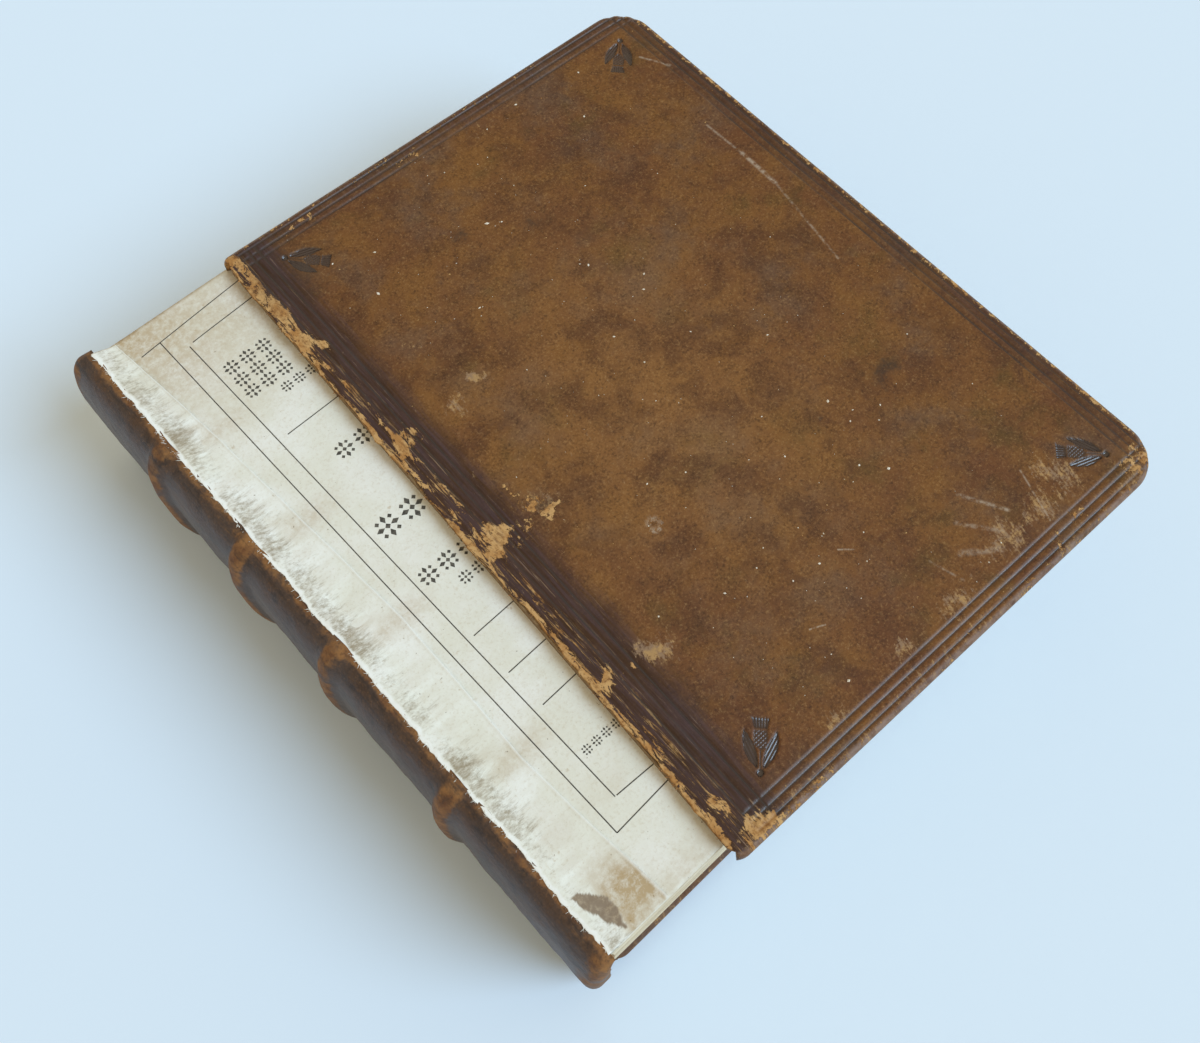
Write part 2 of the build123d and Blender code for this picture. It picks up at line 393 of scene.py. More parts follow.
class Strewer:
    """Geometry Nodes group that sets copies of a template on the points of a host mesh."""

    def __init__(self) -> None:
        """Build the group, which all the strewn pieces share."""
        tree = self.tree = bpy.data.node_groups.new("strew", "GeometryNodeTree")
        tree.interface.new_socket("Geometry", in_out="INPUT", socket_type="NodeSocketGeometry")
        kinds = {"Template": "Object", "Material": "Material", "Seed": "Int", "Spread": "Float"}
        self.keys = {}
        for label, kind in kinds.items():
            socket = tree.interface.new_socket(label, in_out="INPUT", socket_type=f"NodeSocket{kind}")
            self.keys[label] = socket.identifier
        tree.interface.new_socket("Geometry", in_out="OUTPUT", socket_type="NodeSocketGeometry")
        names = {
            "start": "NodeGroupInput", "end": "NodeGroupOutput", "points": "GeometryNodeMeshToPoints",
            "shape": "GeometryNodeObjectInfo", "copies": "GeometryNodeInstanceOnPoints",
            "turn": "GeometryNodeInputNamedAttribute", "grow": "GeometryNodeInputNamedAttribute",
            "euler": "FunctionNodeEulerToRotation", "low": "ShaderNodeMath", "high": "ShaderNodeMath",
            "chance": "FunctionNodeRandomValue", "size": "ShaderNodeVectorMath",
            "real": "GeometryNodeRealizeInstances", "paint": "GeometryNodeSetMaterial",
        }
        node = {key: tree.nodes.new(kind) for key, kind in names.items()}
        for key in ("turn", "grow"):
            node[key].data_type = "FLOAT_VECTOR"
            node[key].inputs["Name"].default_value = key
        node["low"].operation, node["high"].operation, node["size"].operation = "SUBTRACT", "ADD", "SCALE"
        node["low"].inputs[0].default_value = node["high"].inputs[0].default_value = 1.0
        for source, output, target, entry in (
            ("start", "Geometry", "points", "Mesh"), ("start", "Template", "shape", "Object"),
            ("start", "Spread", "low", 1), ("start", "Spread", "high", 1),
            ("start", "Seed", "chance", "Seed"), ("low", 0, "chance", 2), ("high", 0, "chance", 3),
            ("grow", "Attribute", "size", 0), ("chance", 1, "size", "Scale"),
            ("turn", "Attribute", "euler", 0), ("points", 0, "copies", "Points"),
            ("shape", "Geometry", "copies", "Instance"),
            ("euler", 0, "copies", "Rotation"), ("size", 0, "copies", "Scale"), ("copies", 0, "real", 0),
            ("real", 0, "paint", "Geometry"), ("start", "Material", "paint", "Material"),
            ("paint", 0, "end", 0),
        ):
            tree.links.new(node[source].outputs[output], node[target].inputs[entry])

    def strew(self, name: str, template: Template, places: np.ndarray, turns: np.ndarray, sizes: np.ndarray,
              material: bpy.types.Material, seed: int, spread: float = 0.3) -> bpy.types.Object:
        """Set copies of a template on points and turn them into one mesh.

        Args:
            name: Name of the piece.
            template: Shape of one copy.
            places: Points in millimetres.
            turns: Turns about X, Y and Z at each point, in radians.
            sizes: Sizes along the template's own axes.
            material: Finish of the copies.
            seed: Chooses the random sizes.
            spread: How far the sizes differ, as a share.

        Returns:
            The new piece.
        """
        mesh = bpy.data.meshes.new(name)
        mesh.from_pydata((np.asarray(places) * MM).tolist(), [], [])
        for key, values in (("turn", turns), ("grow", sizes)):
            layer = mesh.attributes.new(key, "FLOAT_VECTOR", "POINT")
            layer.data.foreach_set("vector", np.asarray(values, np.float32).ravel())
        host, shape = show(name, mesh), show("template", template.mesh())
        modifier = host.modifiers.new("strew", "NODES")
        modifier.node_group = self.tree
        for label, value in (("Template", shape), ("Material", material), ("Seed", seed), ("Spread", spread)):
            modifier[self.keys[label]] = value
        bpy.context.view_layer.update()
        built = host.evaluated_get(bpy.context.evaluated_depsgraph_get())
        final = bpy.data.meshes.new_from_object(built)
        host.modifiers.clear()
        host.data = final
        bpy.data.objects.remove(shape)
        return host


def arithmetic(operation: str, swapped: bool = False) -> Callable[["Wire", "Value"], "Wire"]:
    """Make an arithmetic method of a wire.

    Args:
        operation: Name of the operation in a shader tree.
        swapped: Whether the wire is the second of the two values.

    Returns:
        The method.
    """
    def method(wire: "Wire", other: "Value") -> "Wire":
        """Add a node that works on the wire and another value."""
        pair = (other, wire) if swapped else (wire, other)
        return wire.sketch.math(operation, *pair)

    return method


@dataclass(frozen=True, eq=False)
class Wire:
    """A value in a shader tree, which can be written with the signs of plain arithmetic."""

    sketch: "ShaderSketch"
    socket: bpy.types.NodeSocket

    __add__, __radd__ = arithmetic("ADD"), arithmetic("ADD", True)
    __sub__, __rsub__ = arithmetic("SUBTRACT"), arithmetic("SUBTRACT", True)
    __mul__, __rmul__ = arithmetic("MULTIPLY"), arithmetic("MULTIPLY", True)
    __truediv__, __pow__ = arithmetic("DIVIDE"), arithmetic("POWER")
    most, least = arithmetic("MAXIMUM"), arithmetic("MINIMUM")


Value = Wire | float | Colour | Vector


class ShaderSketch:
    """Writer for the node tree of one material, in millimetres of Object space."""

    def __init__(self, name: str) -> None:
        """Start a material with one shader and its output.

        Args:
            name: Name of the material.
        """
        self.material = bpy.data.materials.new(name)
        self.material.use_nodes = True
        self.tree = self.material.node_tree
        self.tree.nodes.clear()
        self.shader = self.tree.nodes.new("ShaderNodeBsdfPrincipled")
        output = self.tree.nodes.new("ShaderNodeOutputMaterial")
        self.tree.links.new(self.shader.outputs[0], output.inputs[0])
        self.colour: Value = (0.0, 0.0, 0.0)
        self.place = self.scaled(self.add("TexCoord", {}, "Object"), (1 / MM, 1 / MM, 1 / MM))

    def put(self, socket: bpy.types.NodeSocket, value: Value) -> None:
        """Link a socket or set its own value.

        Args:
            socket: Input of a node.
            value: A wire, a number, a colour or a vector.
        """
        if isinstance(value, Wire):
            self.tree.links.new(value.socket, socket)
        elif isinstance(value, tuple) and socket.type == "RGBA":
            socket.default_value = (*value, 1.0)
        else:
            socket.default_value = value

    def add(self, kind: str, inputs: dict[int | str, Value], output: int | str = 0, **settings: str) -> Wire:
        """Add a node to the tree.

        Args:
            kind: Type of the node, without its prefix.
            inputs: What its inputs take, by number or name.
            output: The output that is used.
            settings: Properties of the node.

        Returns:
            The output.
        """
        node = self.tree.nodes.new(f"ShaderNode{kind}")
        for key, setting in settings.items():
            setattr(node, key, setting)
        for key, value in inputs.items():
            self.put(node.inputs[key], value)
        return Wire(self, node.outputs[output])

    def scaled(self, vector: Wire, scale: Vector, turn: float = 0.0) -> Wire:
        """Stretch and turn coordinates about Z.

        Args:
            vector: Coordinates.
            scale: Factor on each axis.
            turn: Turn about Z in degrees, before the stretch.

        Returns:
            The new coordinates.
        """
        if turn:
            inputs = {"Vector": vector, "Angle": math.radians(turn)}
            vector = self.add("VectorRotate", inputs, rotation_type="Z_AXIS")
        return self.vector_math("MULTIPLY", vector, scale)

    def shifted(self, x: float, y: float) -> Wire:
        """Coordinates moved to the side, for a pattern of its own."""
        return self.vector_math("ADD", self.place, (x, y, 0.0))

    def field(self, name: str) -> Wire:
        """Value of a mesh attribute at each point."""
        return self.add("Attribute", {}, "Fac", attribute_name=name)

    def noise(self, size: float, detail: float = 3.0, rough: float = 0.55, vector: Wire | None = None,
              warp: float = 0.0) -> Wire:
        """Noise from 0 to 1 with bumps of one size.

        Args:
            size: Size of the bumps in millimetres.
            detail: Number of finer layers.
            rough: Strength of the finer layers.
            vector: Coordinates, if not the plain ones.
            warp: How far the pattern is bent.

        Returns:
            The noise.
        """
        inputs = {"Vector": vector or self.place, "Scale": 1 / size}
        inputs |= {"Detail": detail, "Roughness": rough, "Distortion": warp}
        return self.add("TexNoise", inputs)

    def math(self, operation: str, first: Value, second: Value = 0.0) -> Wire:
        """Arithmetic on one or two values."""
        return self.add("Math", {0: first, 1: second}, operation=operation)

    def step(self, value: Value, low: float, high: float, top: float = 1.0) -> Wire:
        """Smooth step from 0 at low to top at high."""
        inputs = {"Value": value, "From Min": low, "From Max": high, "To Max": top}
        return self.add("MapRange", inputs, interpolation_type="SMOOTHSTEP")

    def mix(self, share: Value, first: Value, second: Value) -> Wire:
        """Mix of two colours, which are inputs 6 and 7 and output 2 of the node."""
        return self.add("Mix", {0: share, 6: first, 7: second}, 2, data_type="RGBA")

    def lay(self, share: Value, paint: Value) -> None:
        """Lay a colour over the material's running colour."""
        self.colour = self.mix(share, self.colour, paint)

    def vector_math(self, operation: str, first: Value, second: Value, output: int = 0) -> Wire:
        """Arithmetic on two vectors; output 1 gives a plain value."""
        target = "Scale" if operation == "SCALE" else 1
        return self.add("VectorMath", {0: first, target: second}, output, operation=operation)

    def joined(self, x: Value, y: Value) -> Wire:
        """Flat vector made of two values."""
        return self.add("CombineXYZ", {0: x, 1: y})

    def streak(self, spot: Wire, start: Pair, end: Pair, half: float) -> Wire:
        """Closeness to a straight line: 1 on it and 0 at half its width away.

        Args:
            spot: Flat coordinates.
            start: One end of the line.
            end: Its other end.
            half: Half of its width.

        Returns:
            The closeness.
        """
        run = np.subtract(end, start)
        length = float(np.hypot(*run))
        way = (float(run[0] / length), float(run[1] / length), 0.0)
        offset = self.vector_math("SUBTRACT", spot, (*start, 0.0))
        along = self.vector_math("DOT_PRODUCT", offset, way, 1).most(0.0)
        nearest = self.vector_math("SCALE", way, along.least(length))
        return self.step(self.vector_math("DISTANCE", offset, nearest, 1), half, 0.0)

    def ring(self, spot: Wire, centre: Pair, radius: float, width: float) -> Wire:
        """Closeness to a circle: 1 on it and 0 at width away."""
        distance = self.vector_math("DISTANCE", spot, (*centre, 0.0), 1)
        return self.step(self.math("ABSOLUTE", distance - radius), width, 0.0)

    def waves(self, value: Wire, period: float) -> Wire:
        """Regular waves from -1 to 1 along a value in millimetres."""
        return self.math("SINE", value * (2 * math.pi / period))

    def bump(self, height: Wire, depth: float) -> Wire:
        """Normal of a relief whose height of 1 is depth millimetres."""
        return self.add("Bump", {"Distance": depth * MM, "Height": height})

    def set(self, **values: Value) -> bpy.types.Material:
        """Set the shader's inputs.

        Args:
            values: What the inputs take, by name with _ for a space.

        Returns:
            The material.
        """
        for key, value in values.items():
            self.put(self.shader.inputs[key.replace("_", " ")], value)
        return self.material


@dataclass(frozen=True)
class Scratch:
    """One pale line scraped into a board's leather, in the board's own frame."""

    start: Pair
    end: Pair
    half: float = 0.35
    strength: float = 0.6


@dataclass(frozen=True)
class CoverCalf:
    """Polished brown calf of a board: mottled, dark along the spine, flaked and rubbed, with a painted
    highlight on its edges.
    """

    name: str = "cover_calf"
    scratches: tuple[Scratch, ...] = ()
    blisters: tuple[Vector, ...] = ()
    red_brown: Colour = srgb(104, 64, 37)
    gold_brown: Colour = srgb(124, 82, 40)
    grey_brown: Colour = srgb(100, 76, 60)
    olive: Colour = srgb(84, 64, 30)
    dusky: Colour = srgb(82, 50, 32)
    deep_brown: Colour = srgb(54, 34, 22)
    glow: Colour = srgb(148, 104, 60)
    spine_dark: Colour = srgb(70, 55, 60)
    tool_dark: Colour = srgb(48, 38, 38)
    flesh_tan: Colour = srgb(200, 158, 104)
    flesh_orange: Colour = srgb(176, 126, 72)
    flesh_brown: Colour = srgb(116, 78, 44)
    dust: Colour = srgb(186, 148, 98)
    soot: Colour = srgb(54, 44, 39)
    scuffed: Colour = srgb(152, 124, 98)
    chalk: Colour = srgb(184, 166, 146)
    # Painted highlight colour: the lilac of the window's reflection on the polished edges.
    edge_highlight_paint: Colour = srgb(160, 136, 122)
    hair: Colour = srgb(148, 122, 98)

    def body(self, ink: ShaderSketch) -> Wire:
        """Lay the mottled brown of the sound leather, with its fine grain.

        Args:
            ink: Writer of the material.

        Returns:
            The grain.
        """
        clouds = ink.step(ink.noise(24, 6, 0.66, warp=0.3), 0.36, 0.66)
        ink.colour = ink.mix(clouds, self.red_brown, self.gold_brown)
        grey = ink.step(ink.noise(24, 5, 0.64, ink.shifted(90.0, 40.0)), 0.46, 0.72)
        ink.lay(grey * 0.9, self.grey_brown)
        olive = ink.step(ink.noise(15, 6, 0.64, ink.shifted(10.0, 70.0)), 0.52, 0.74)
        ink.lay(olive * 0.7, self.olive)
        ink.lay(ink.field("glow") * 0.5, self.glow)
        ink.lay(ink.step(ink.noise(11, 5, 0.62, warp=0.5), 0.55, 0.34, 0.6), self.dusky)
        ink.lay(ink.step(ink.noise(8, 6, 0.7), 0.5, 0.7) * 0.55, self.gold_brown)
        grain, coarse, fleck = ink.noise(0.62, 4, 0.74), ink.noise(2.6, 4, 0.66), ink.noise(1.2, 6, 0.74)
        dots = ink.step(grain * 0.7 + coarse * 0.3, 0.5, 0.37)
        ink.lay(dots * 0.48, self.deep_brown)
        ink.lay(ink.step(fleck, 0.47, 0.3, 0.5), self.deep_brown)
        ink.lay(ink.step(fleck, 0.55, 0.75, 0.3), self.dust)
        ink.lay(ink.step(grain, 0.54, 0.68, 0.26), self.dust)
        return grain

    def thistle_hatch(self, ink: ShaderSketch) -> Wire:
        """Fine lines inside the corner tools: veined leaves, netted bulb, bristled crown.

        Args:
            ink: Writer of the material.

        Returns:
            Height of the lines.
        """
        across, along = ink.field("tool_across"), ink.field("tool_along")
        veins = ink.waves(along * 0.5 - ink.math("ABSOLUTE", across), 0.8)
        net = ink.waves(across + along, 1.0).most(ink.waves(across - along, 1.0))
        bristle = ink.waves(across / (0.35 + along * 0.06), 0.62)
        return ink.field("leaf") * veins + ink.field("bulb") * net + ink.field("crown") * bristle

    def scrapes(self, ink: ShaderSketch, spot: Wire, scuff: Wire) -> Wire:
        """Shares of the scratches and blisters that are scraped pale.

        Args:
            ink: Writer of the material.
            spot: Places in the board's own frame.
            scuff: Noise that bends the blisters' rims.

        Returns:
            The share at each point.
        """
        uneven = ink.step(ink.noise(1.6, 5, 0.75), 0.38, 0.62)
        wobble = ink.vector_math("ADD", spot, ink.vector_math("SCALE", ink.joined(scuff, uneven), 1.4))
        scraped: Value = 0.0
        for scratch in self.scratches:
            line = ink.streak(spot, scratch.start, scratch.end, scratch.half)
            scraped = ink.math("MAXIMUM", scraped, line * scratch.strength)
        for x, y, radius in self.blisters:
            scraped = ink.math("MAXIMUM", scraped, ink.ring(wobble, (x, y), radius, 0.9) * 0.6)
        return scraped * uneven

    def dress(self) -> bpy.types.Material:
        """Write the material.

        Returns:
            The material.
        """
        ink = ShaderSketch(self.name)
        board_x = ink.field("board_x")
        spot = ink.joined(board_x, ink.field("board_y"))
        grain = self.body(ink)
        stain = ink.step(ink.noise(1.2, 5, 0.7) * 0.8 + ink.field("stain"), 0.55, 1.25)
        ink.lay(stain, self.soot)
        sound = 1.0 - stain
        strip = ink.field("strip")
        fine_lines = ink.noise(1.1, 5, 0.72, ink.scaled(spot, (1.0, 0.06, 1.0)))
        dark = ink.mix(ink.step(fine_lines, 0.35, 0.7), self.deep_brown, self.spine_dark)
        ink.lay(strip * 0.92, dark)
        hair = ink.step(ink.noise(0.55, 4, 0.7, ink.scaled(spot, (1.0, 0.03, 1.0)), 0.5), 0.61, 0.67, 0.75)
        ink.lay(hair * strip**3.0, self.hair)
        groove = ink.field("groove")
        pressed = groove.most(ink.field("tool"))
        ink.lay(ink.step(pressed, 0.25, 0.9) * 0.8, self.tool_dark)

        scuff, sandy = ink.noise(1.7, 6, 0.75), ink.noise(0.7, 4, 0.72)
        brushed = ink.noise(1.3, 5, 0.75, ink.scaled(spot, (1.0, 0.24, 1.0), 16.0))
        broken = (brushed * 0.6 + sandy * 0.4 - 0.5) * 3.4 + 0.5
        rubbed = ink.step(broken + ink.field("pale") * 0.5, 0.84, 1.22, 0.8)
        rubbed = rubbed * sound * (1.0 - groove * 0.75)
        # Painted highlight: lilac laid as colour on the rounded edges and along the tail edge, in place of
        # the window's reflection.
        painted_sheen = ink.field("painted_sheen") * ink.step(ink.noise(5, 5, 0.7), 0.3, 0.62)
        ink.lay(painted_sheen, self.edge_highlight_paint)
        worn = ink.mix(ink.step(ink.noise(2.4, 5, 0.7), 0.42, 0.62), self.scuffed, self.dust)
        ink.lay(rubbed, worn)
        scraped = self.scrapes(ink, spot, scuff)
        ink.lay(scraped, self.chalk)

        drawn_out = ink.noise(2.2, 6, 0.78, ink.scaled(spot, (1.0, 0.26, 1.0)), 0.6)
        nearness = ink.step(board_x, 15.0, 9.0)
        flecks = drawn_out * nearness + scuff * (1.0 - nearness)
        depth = (flecks - 0.5) * 2.9 + 0.5 + ink.field("flake") * 0.8
        cracks = ink.step(ink.noise(0.8, 5, 0.75, ink.scaled(spot, (1.0, 0.07, 1.0)), 0.5), 0.54, 0.63)
        flaked = (ink.step(depth, 0.98, 1.06) * sound).most(cracks * ink.field("crack"))
        flesh = ink.mix(ink.step(ink.noise(4, 4, 0.6), 0.4, 0.65), self.flesh_tan, self.flesh_orange)
        flesh = ink.mix(ink.step(ink.noise(1.0, 5, 0.7), 0.5, 0.72), flesh, self.flesh_brown)
        flesh = ink.mix(ink.step(depth, 1.2, 1.75, 0.75), flesh, self.flesh_brown)
        ink.lay(flaked, flesh)

        hatch = self.thistle_hatch(ink)
        height = grain * 0.9 + flaked * -1.6 + hatch * 0.9 + fine_lines * (strip * 2.0)
        bare = flaked.most(rubbed.most(scraped))
        rough = 0.4 + ink.noise(7, 4, 0.6) * 0.18 + bare * 0.35 - pressed * 0.2
        shine = 0.22 + pressed * 0.5
        normal = ink.bump(height, 0.06)
        return ink.set(Base_Color=ink.colour, Roughness=rough, Normal=normal, Specular_IOR_Level=shine)


@dataclass(frozen=True)
class SpineCalf:
    """Darkened calf of the spine, rubbed to tan on bands, caps and the broken joint."""

    name: str = "spine_calf"
    slate: Colour = srgb(78, 62, 54)
    brown: Colour = srgb(84, 60, 44)
    black: Colour = srgb(38, 32, 32)
    tan: Colour = srgb(150, 106, 62)
    rust: Colour = srgb(104, 66, 40)

    def dress(self) -> bpy.types.Material:
        """Write the material.

        Returns:
            The material.
        """
        ink = ShaderSketch(self.name)
        ink.colour = ink.mix(ink.step(ink.noise(9, 5, 0.6, warp=0.5), 0.4, 0.68), self.slate, self.brown)
        ink.lay(ink.step(ink.noise(4, 5, 0.65), 0.5, 0.72) * 0.7, self.black)
        worn = ink.mix(ink.step(ink.noise(3.6, 5, 0.62), 0.35, 0.75), self.tan, self.rust)
        fibre = ink.noise(2.6, 6, 0.66, warp=0.4)
        share = ink.step(fibre + ink.field("rub") * 0.75, 0.66, 1.12)
        ink.lay(share, worn)
        creases = ink.noise(1.4, 6, 0.75, ink.scaled(ink.place, (1.0, 0.1, 1.0)))
        grain = ink.noise(0.7, 5, 0.74)
        for pattern, low, high, top, paint in (
            (creases, 0.5, 0.36, 0.5, self.black), (creases, 0.58, 0.72, 0.4, self.tan),
            (grain, 0.5, 0.66, 0.42, self.black), (grain, 0.46, 0.34, 0.22, self.tan),
        ):
            ink.lay(ink.step(pattern, low, high, top), paint)
        rough = 0.42 + share * 0.3
        normal = ink.bump(grain * 0.6 + fibre * 1.2 + creases * 0.8, 0.14)
        return ink.set(Base_Color=ink.colour, Roughness=rough, Normal=normal, Specular_IOR_Level=0.32)


@dataclass(frozen=True)
class LaidPaper:
    """Old rag paper: cream, fibrous, foxed, with dirt, age, white torn edges and a painted highlight where
    its fields say.
    """

    name: str = "laid_paper"
    cream: Colour = srgb(230, 228, 215)
    pale: Colour = srgb(239, 238, 231)
    white: Colour = srgb(240, 239, 233)
    age: Colour = srgb(184, 160, 124)
    dirt: Colour = srgb(140, 122, 92)
    speck: Colour = srgb(120, 100, 76)
    fox: Colour = srgb(176, 146, 104)
    bared: Colour = srgb(140, 122, 102)
    bared_pale: Colour = srgb(170, 152, 128)

    def dress(self) -> bpy.types.Material:
        """Write the material.

        Returns:
            The material.
        """
        ink = ShaderSketch(self.name)
        fibre = ink.noise(0.8, 5, 0.72)
        ink.colour = ink.mix(ink.step(ink.noise(14, 4, 0.6), 0.35, 0.7), self.cream, self.pale)
        ink.lay(ink.step(fibre, 0.48, 0.72, 0.28), self.age)
        warm = ink.step(ink.noise(21, 5, 0.6, warp=0.4), 0.48, 0.75, 0.22)
        mottle = ink.step(ink.noise(1.8, 6, 0.75), 0.3, 0.64)
        aged = ink.field("age") * (0.35 + mottle * 0.65)
        ink.lay(aged.most(warm), self.age)
        spots = ink.step(ink.noise(2.6, 3, 0.55), 0.68, 0.76)
        ink.lay(spots * 0.4, self.fox)
        specks = ink.step(ink.noise(0.9, 2, 0.5), 0.74, 0.78, 0.7)
        ink.lay(specks, self.speck)
        streak = ink.noise(0.9, 6, 0.78, ink.scaled(ink.place, (0.18, 1.0, 1.0)))
        dirty = ink.step(streak + ink.field("dirt") * 0.42, 0.6, 1.0, 0.85)
        ink.lay(dirty, self.dirt)
        bared = ink.mix(ink.step(ink.noise(1.3, 5, 0.7), 0.45, 0.7), self.bared, self.bared_pale)
        ink.lay(ink.field("patch"), bared)
        # White of bared paper where the torn field marks a torn edge, and a painted highlight where it marks
        # the stub's raised right edge.
        ink.lay(ink.field("torn"), self.white)
        height = fibre + ink.noise(3, 3, 0.5) * 1.5
        return ink.set(Base_Color=ink.colour, Roughness=0.86, Normal=ink.bump(height, 0.06))


@dataclass(frozen=True)
class LeafEdges:
    """Cut edges of many leaves: fine cream and brown lines that follow the leaves."""

    name: str = "leaf_edges"
    pale: Colour = srgb(228, 219, 199)
    tan: Colour = srgb(198, 180, 148)
    brown: Colour = srgb(136, 112, 84)

    def dress(self) -> bpy.types.Material:
        """Write the material.

        Returns:
            The material.
        """
        ink = ShaderSketch(self.name)
        leaves = ink.noise(0.2, 2, 0.65, ink.scaled(ink.place, (0.003, 0.003, 1.0)))
        groups = ink.noise(3.0, 3, 0.6, ink.scaled(ink.place, (0.01, 0.01, 1.0)))
        ink.colour = ink.mix(ink.step(leaves, 0.3, 0.66), self.tan, self.pale)
        ink.lay(ink.step(leaves, 0.36, 0.24, 0.6), self.brown)
        ink.lay(ink.step(groups, 0.5, 0.78, 0.34), self.brown)
        soil = ink.step(ink.noise(22, 5, 0.62, ink.scaled(ink.place, (1.0, 1.0, 2.0))), 0.48, 0.8)
        ink.lay(soil * 0.4, self.brown)
        specks = ink.step(ink.noise(1.6, 3, 0.6), 0.66, 0.76, 0.5)
        ink.lay(specks, self.brown)
        return ink.set(Base_Color=ink.colour, Roughness=0.9, Normal=ink.bump(leaves, 0.06))


@dataclass(frozen=True)
class Pasteboard:
    """Layered grey-brown board, seen where the leather is torn."""

    name: str = "pasteboard"
    straw: Colour = srgb(158, 130, 92)
    brown: Colour = srgb(108, 82, 56)

    def dress(self) -> bpy.types.Material:
        """Write the material.

        Returns:
            The material.
        """
        ink = ShaderSketch(self.name)
        layers = ink.noise(0.5, 4, 0.65, ink.scaled(ink.place, (0.2, 0.2, 1.0)))
        ink.colour = ink.mix(ink.step(layers, 0.35, 0.65), self.brown, self.straw)
        return ink.set(Base_Color=ink.colour, Roughness=0.9, Normal=ink.bump(layers, 0.15))


@dataclass(frozen=True)
class PlainFinish:
    """One colour broken up by noise, for thread, ink, dust and other small things."""

    name: str
    first: Colour
    second: Colour
    size: float = 1.0
    rough: float = 0.8

    def dress(self) -> bpy.types.Material:
        """Write the material.

        Returns:
            The material.
        """
        ink = ShaderSketch(self.name)
        grain = ink.noise(self.size, 4, 0.65)
        ink.colour = ink.mix(ink.step(grain, 0.35, 0.7), self.first, self.second)
        return ink.set(Base_Color=ink.colour, Roughness=self.rough, Normal=ink.bump(grain, 0.05))


class MarkKind(Enum):
    """What a mark on the leather does to it."""

    FLAKE = "flake"
    PALE = "pale"
    STAIN = "stain"


@dataclass(frozen=True)
class Mark:
    """One soft-edged mark on a board, in the board's own frame."""

    kind: MarkKind
    x: float
    y: float
    across: float
    along: float
    strength: float = 1.0


@dataclass(frozen=True)
class Tooling:
    """Blind tooling of a board: ruled lines near the edges and a thistle in each corner."""

    width: float
    height: float
    lines: int = 3
    edge: float = 2.3
    step: float = 2.2
    spine: float = 7.1
    spine_step: float = 2.4
    line_half: float = 0.6
    line_depth: float = 0.5
    tool_inset: float = 4.0
    tool_depth: float = 0.5
    ball_radius: float = 0.95
    stem_half: float = 0.3
    soft: float = 0.25
    head_outline: tuple = ((4.8, 5.6, 6.5, 8.0, 9.7, 12.3), (0.3, 1.2, 1.7, 1.8, 1.6, 2.3))
    leaf_outer: tuple = ((1.0, 2.0, 3.4, 4.9, 7.0, 9.0, 9.8), (1.2, 2.1, 3.2, 3.85, 4.15, 4.0, 3.6))
    leaf_inner: tuple = ((1.0, 2.8, 4.0, 5.0, 6.4, 7.5, 9.0, 9.8), (0.4, 0.42, 0.6, 0.9, 1.4, 2.1, 3.2, 3.7))

    def rules(self) -> tuple[list[float], list[float]]:
        """Places of the ruled lines.

        Returns:
            Places of the upright lines and of the level lines.
        """
        count = range(self.lines)
        upright = [self.spine + i * self.spine_step for i in count]
        upright += [self.width - self.edge - i * self.step for i in count]
        level = [self.edge + i * self.step for i in count]
        level += [self.height - self.edge - i * self.step for i in count]
        return upright, level

    def grooves(self, x: np.ndarray, y: np.ndarray) -> np.ndarray:
        """Depth share of the ruled lines, 0 to 1.

        Args:
            x: Distance from the spine edge.
            y: Distance from the tail edge.

        Returns:
            One share for each point.
        """
        upright, level = self.rules()
        reach = self.line_half
        inside_y = rise(y, level[0] - reach, level[0]) * fall(y, level[3], level[3] + reach)
        inside_x = rise(x, upright[0] - reach, upright[0]) * fall(x, upright[3], upright[3] + reach)
        depth = np.zeros_like(x)
        for places, across, along, inside, least, gap, seed in (
            (upright, x, y, inside_y, 0.45, 9.0, 31), (level, y, x, inside_x, 0.55, 7.0, 61),
        ):
            for number, place in enumerate(places):
                fade = least + 0.75 * cloud(along, along * 0 + gap * number, 16, seed + number)
                groove = np.clip(1 - np.abs(across - place) / reach, 0, 1)
                depth = np.maximum(depth, groove * inside * np.clip(fade, 0, 1))
        return depth

    def local(self, x: np.ndarray, y: np.ndarray) -> tuple[np.ndarray, np.ndarray]:
        """Places in the frame of the nearest corner's thistle, whose ball is at the origin.

        Args:
            x: Distance from the spine edge.
            y: Distance from the tail edge.

        Returns:
            Distance to the side of the stem, and from the ball towards the crown.
        """
        upright, level = self.rules()
        last = self.lines - 1
        low_x, high_x = upright[last] + self.tool_inset, upright[-1] - self.tool_inset
        low_y, high_y = level[last] + self.tool_inset, level[-1] - self.tool_inset
        right = np.where(x < self.width / 2, x - low_x, high_x - x)
        up = np.where(y < self.height / 2, y - low_y, high_y - y)
        return (right - up) / math.sqrt(2), (right + up) / math.sqrt(2)

    def thistle(self, across: np.ndarray, along: np.ndarray) -> dict[str, np.ndarray]:
        """Shares of a thistle's parts in its own frame.

        Args:
            across: Distance to the side of the stem.
            along: Distance from the ball towards the crown.

        Returns:
            Values from 0 to 1 by attribute name, with the whole tool's depth as tool.
        """
        side = np.abs(across)
        soft = self.soft
        ball = fall(np.hypot(across, along), self.ball_radius - soft, self.ball_radius)
        stem = fall(side, self.stem_half - soft, self.stem_half)
        stem = stem * rise(along, 0.4, 0.7) * fall(along, 4.9, 5.2)
        head = rise(np.interp(along, *self.head_outline) - side, 0, soft) * rise(along, 4.7, 5.0)
        crown = head * rise(along, 9.5, 9.8) * fall(along, 12.05, 12.3)
        bulb = head * fall(along, 9.3, 9.6)
        leaf = rise(np.interp(along, *self.leaf_outer) - side, 0, soft)
        leaf = leaf * rise(side - np.interp(along, *self.leaf_inner), 0, soft)
        leaf = leaf * rise(along, 0.9, 1.2) * fall(along, 9.6, 9.8)
        whole = np.maximum.reduce([ball * 1.45, stem * 0.8, bulb * 0.75, crown * 0.85, leaf])
        return {"tool": whole, "leaf": leaf, "bulb": bulb, "crown": crown}


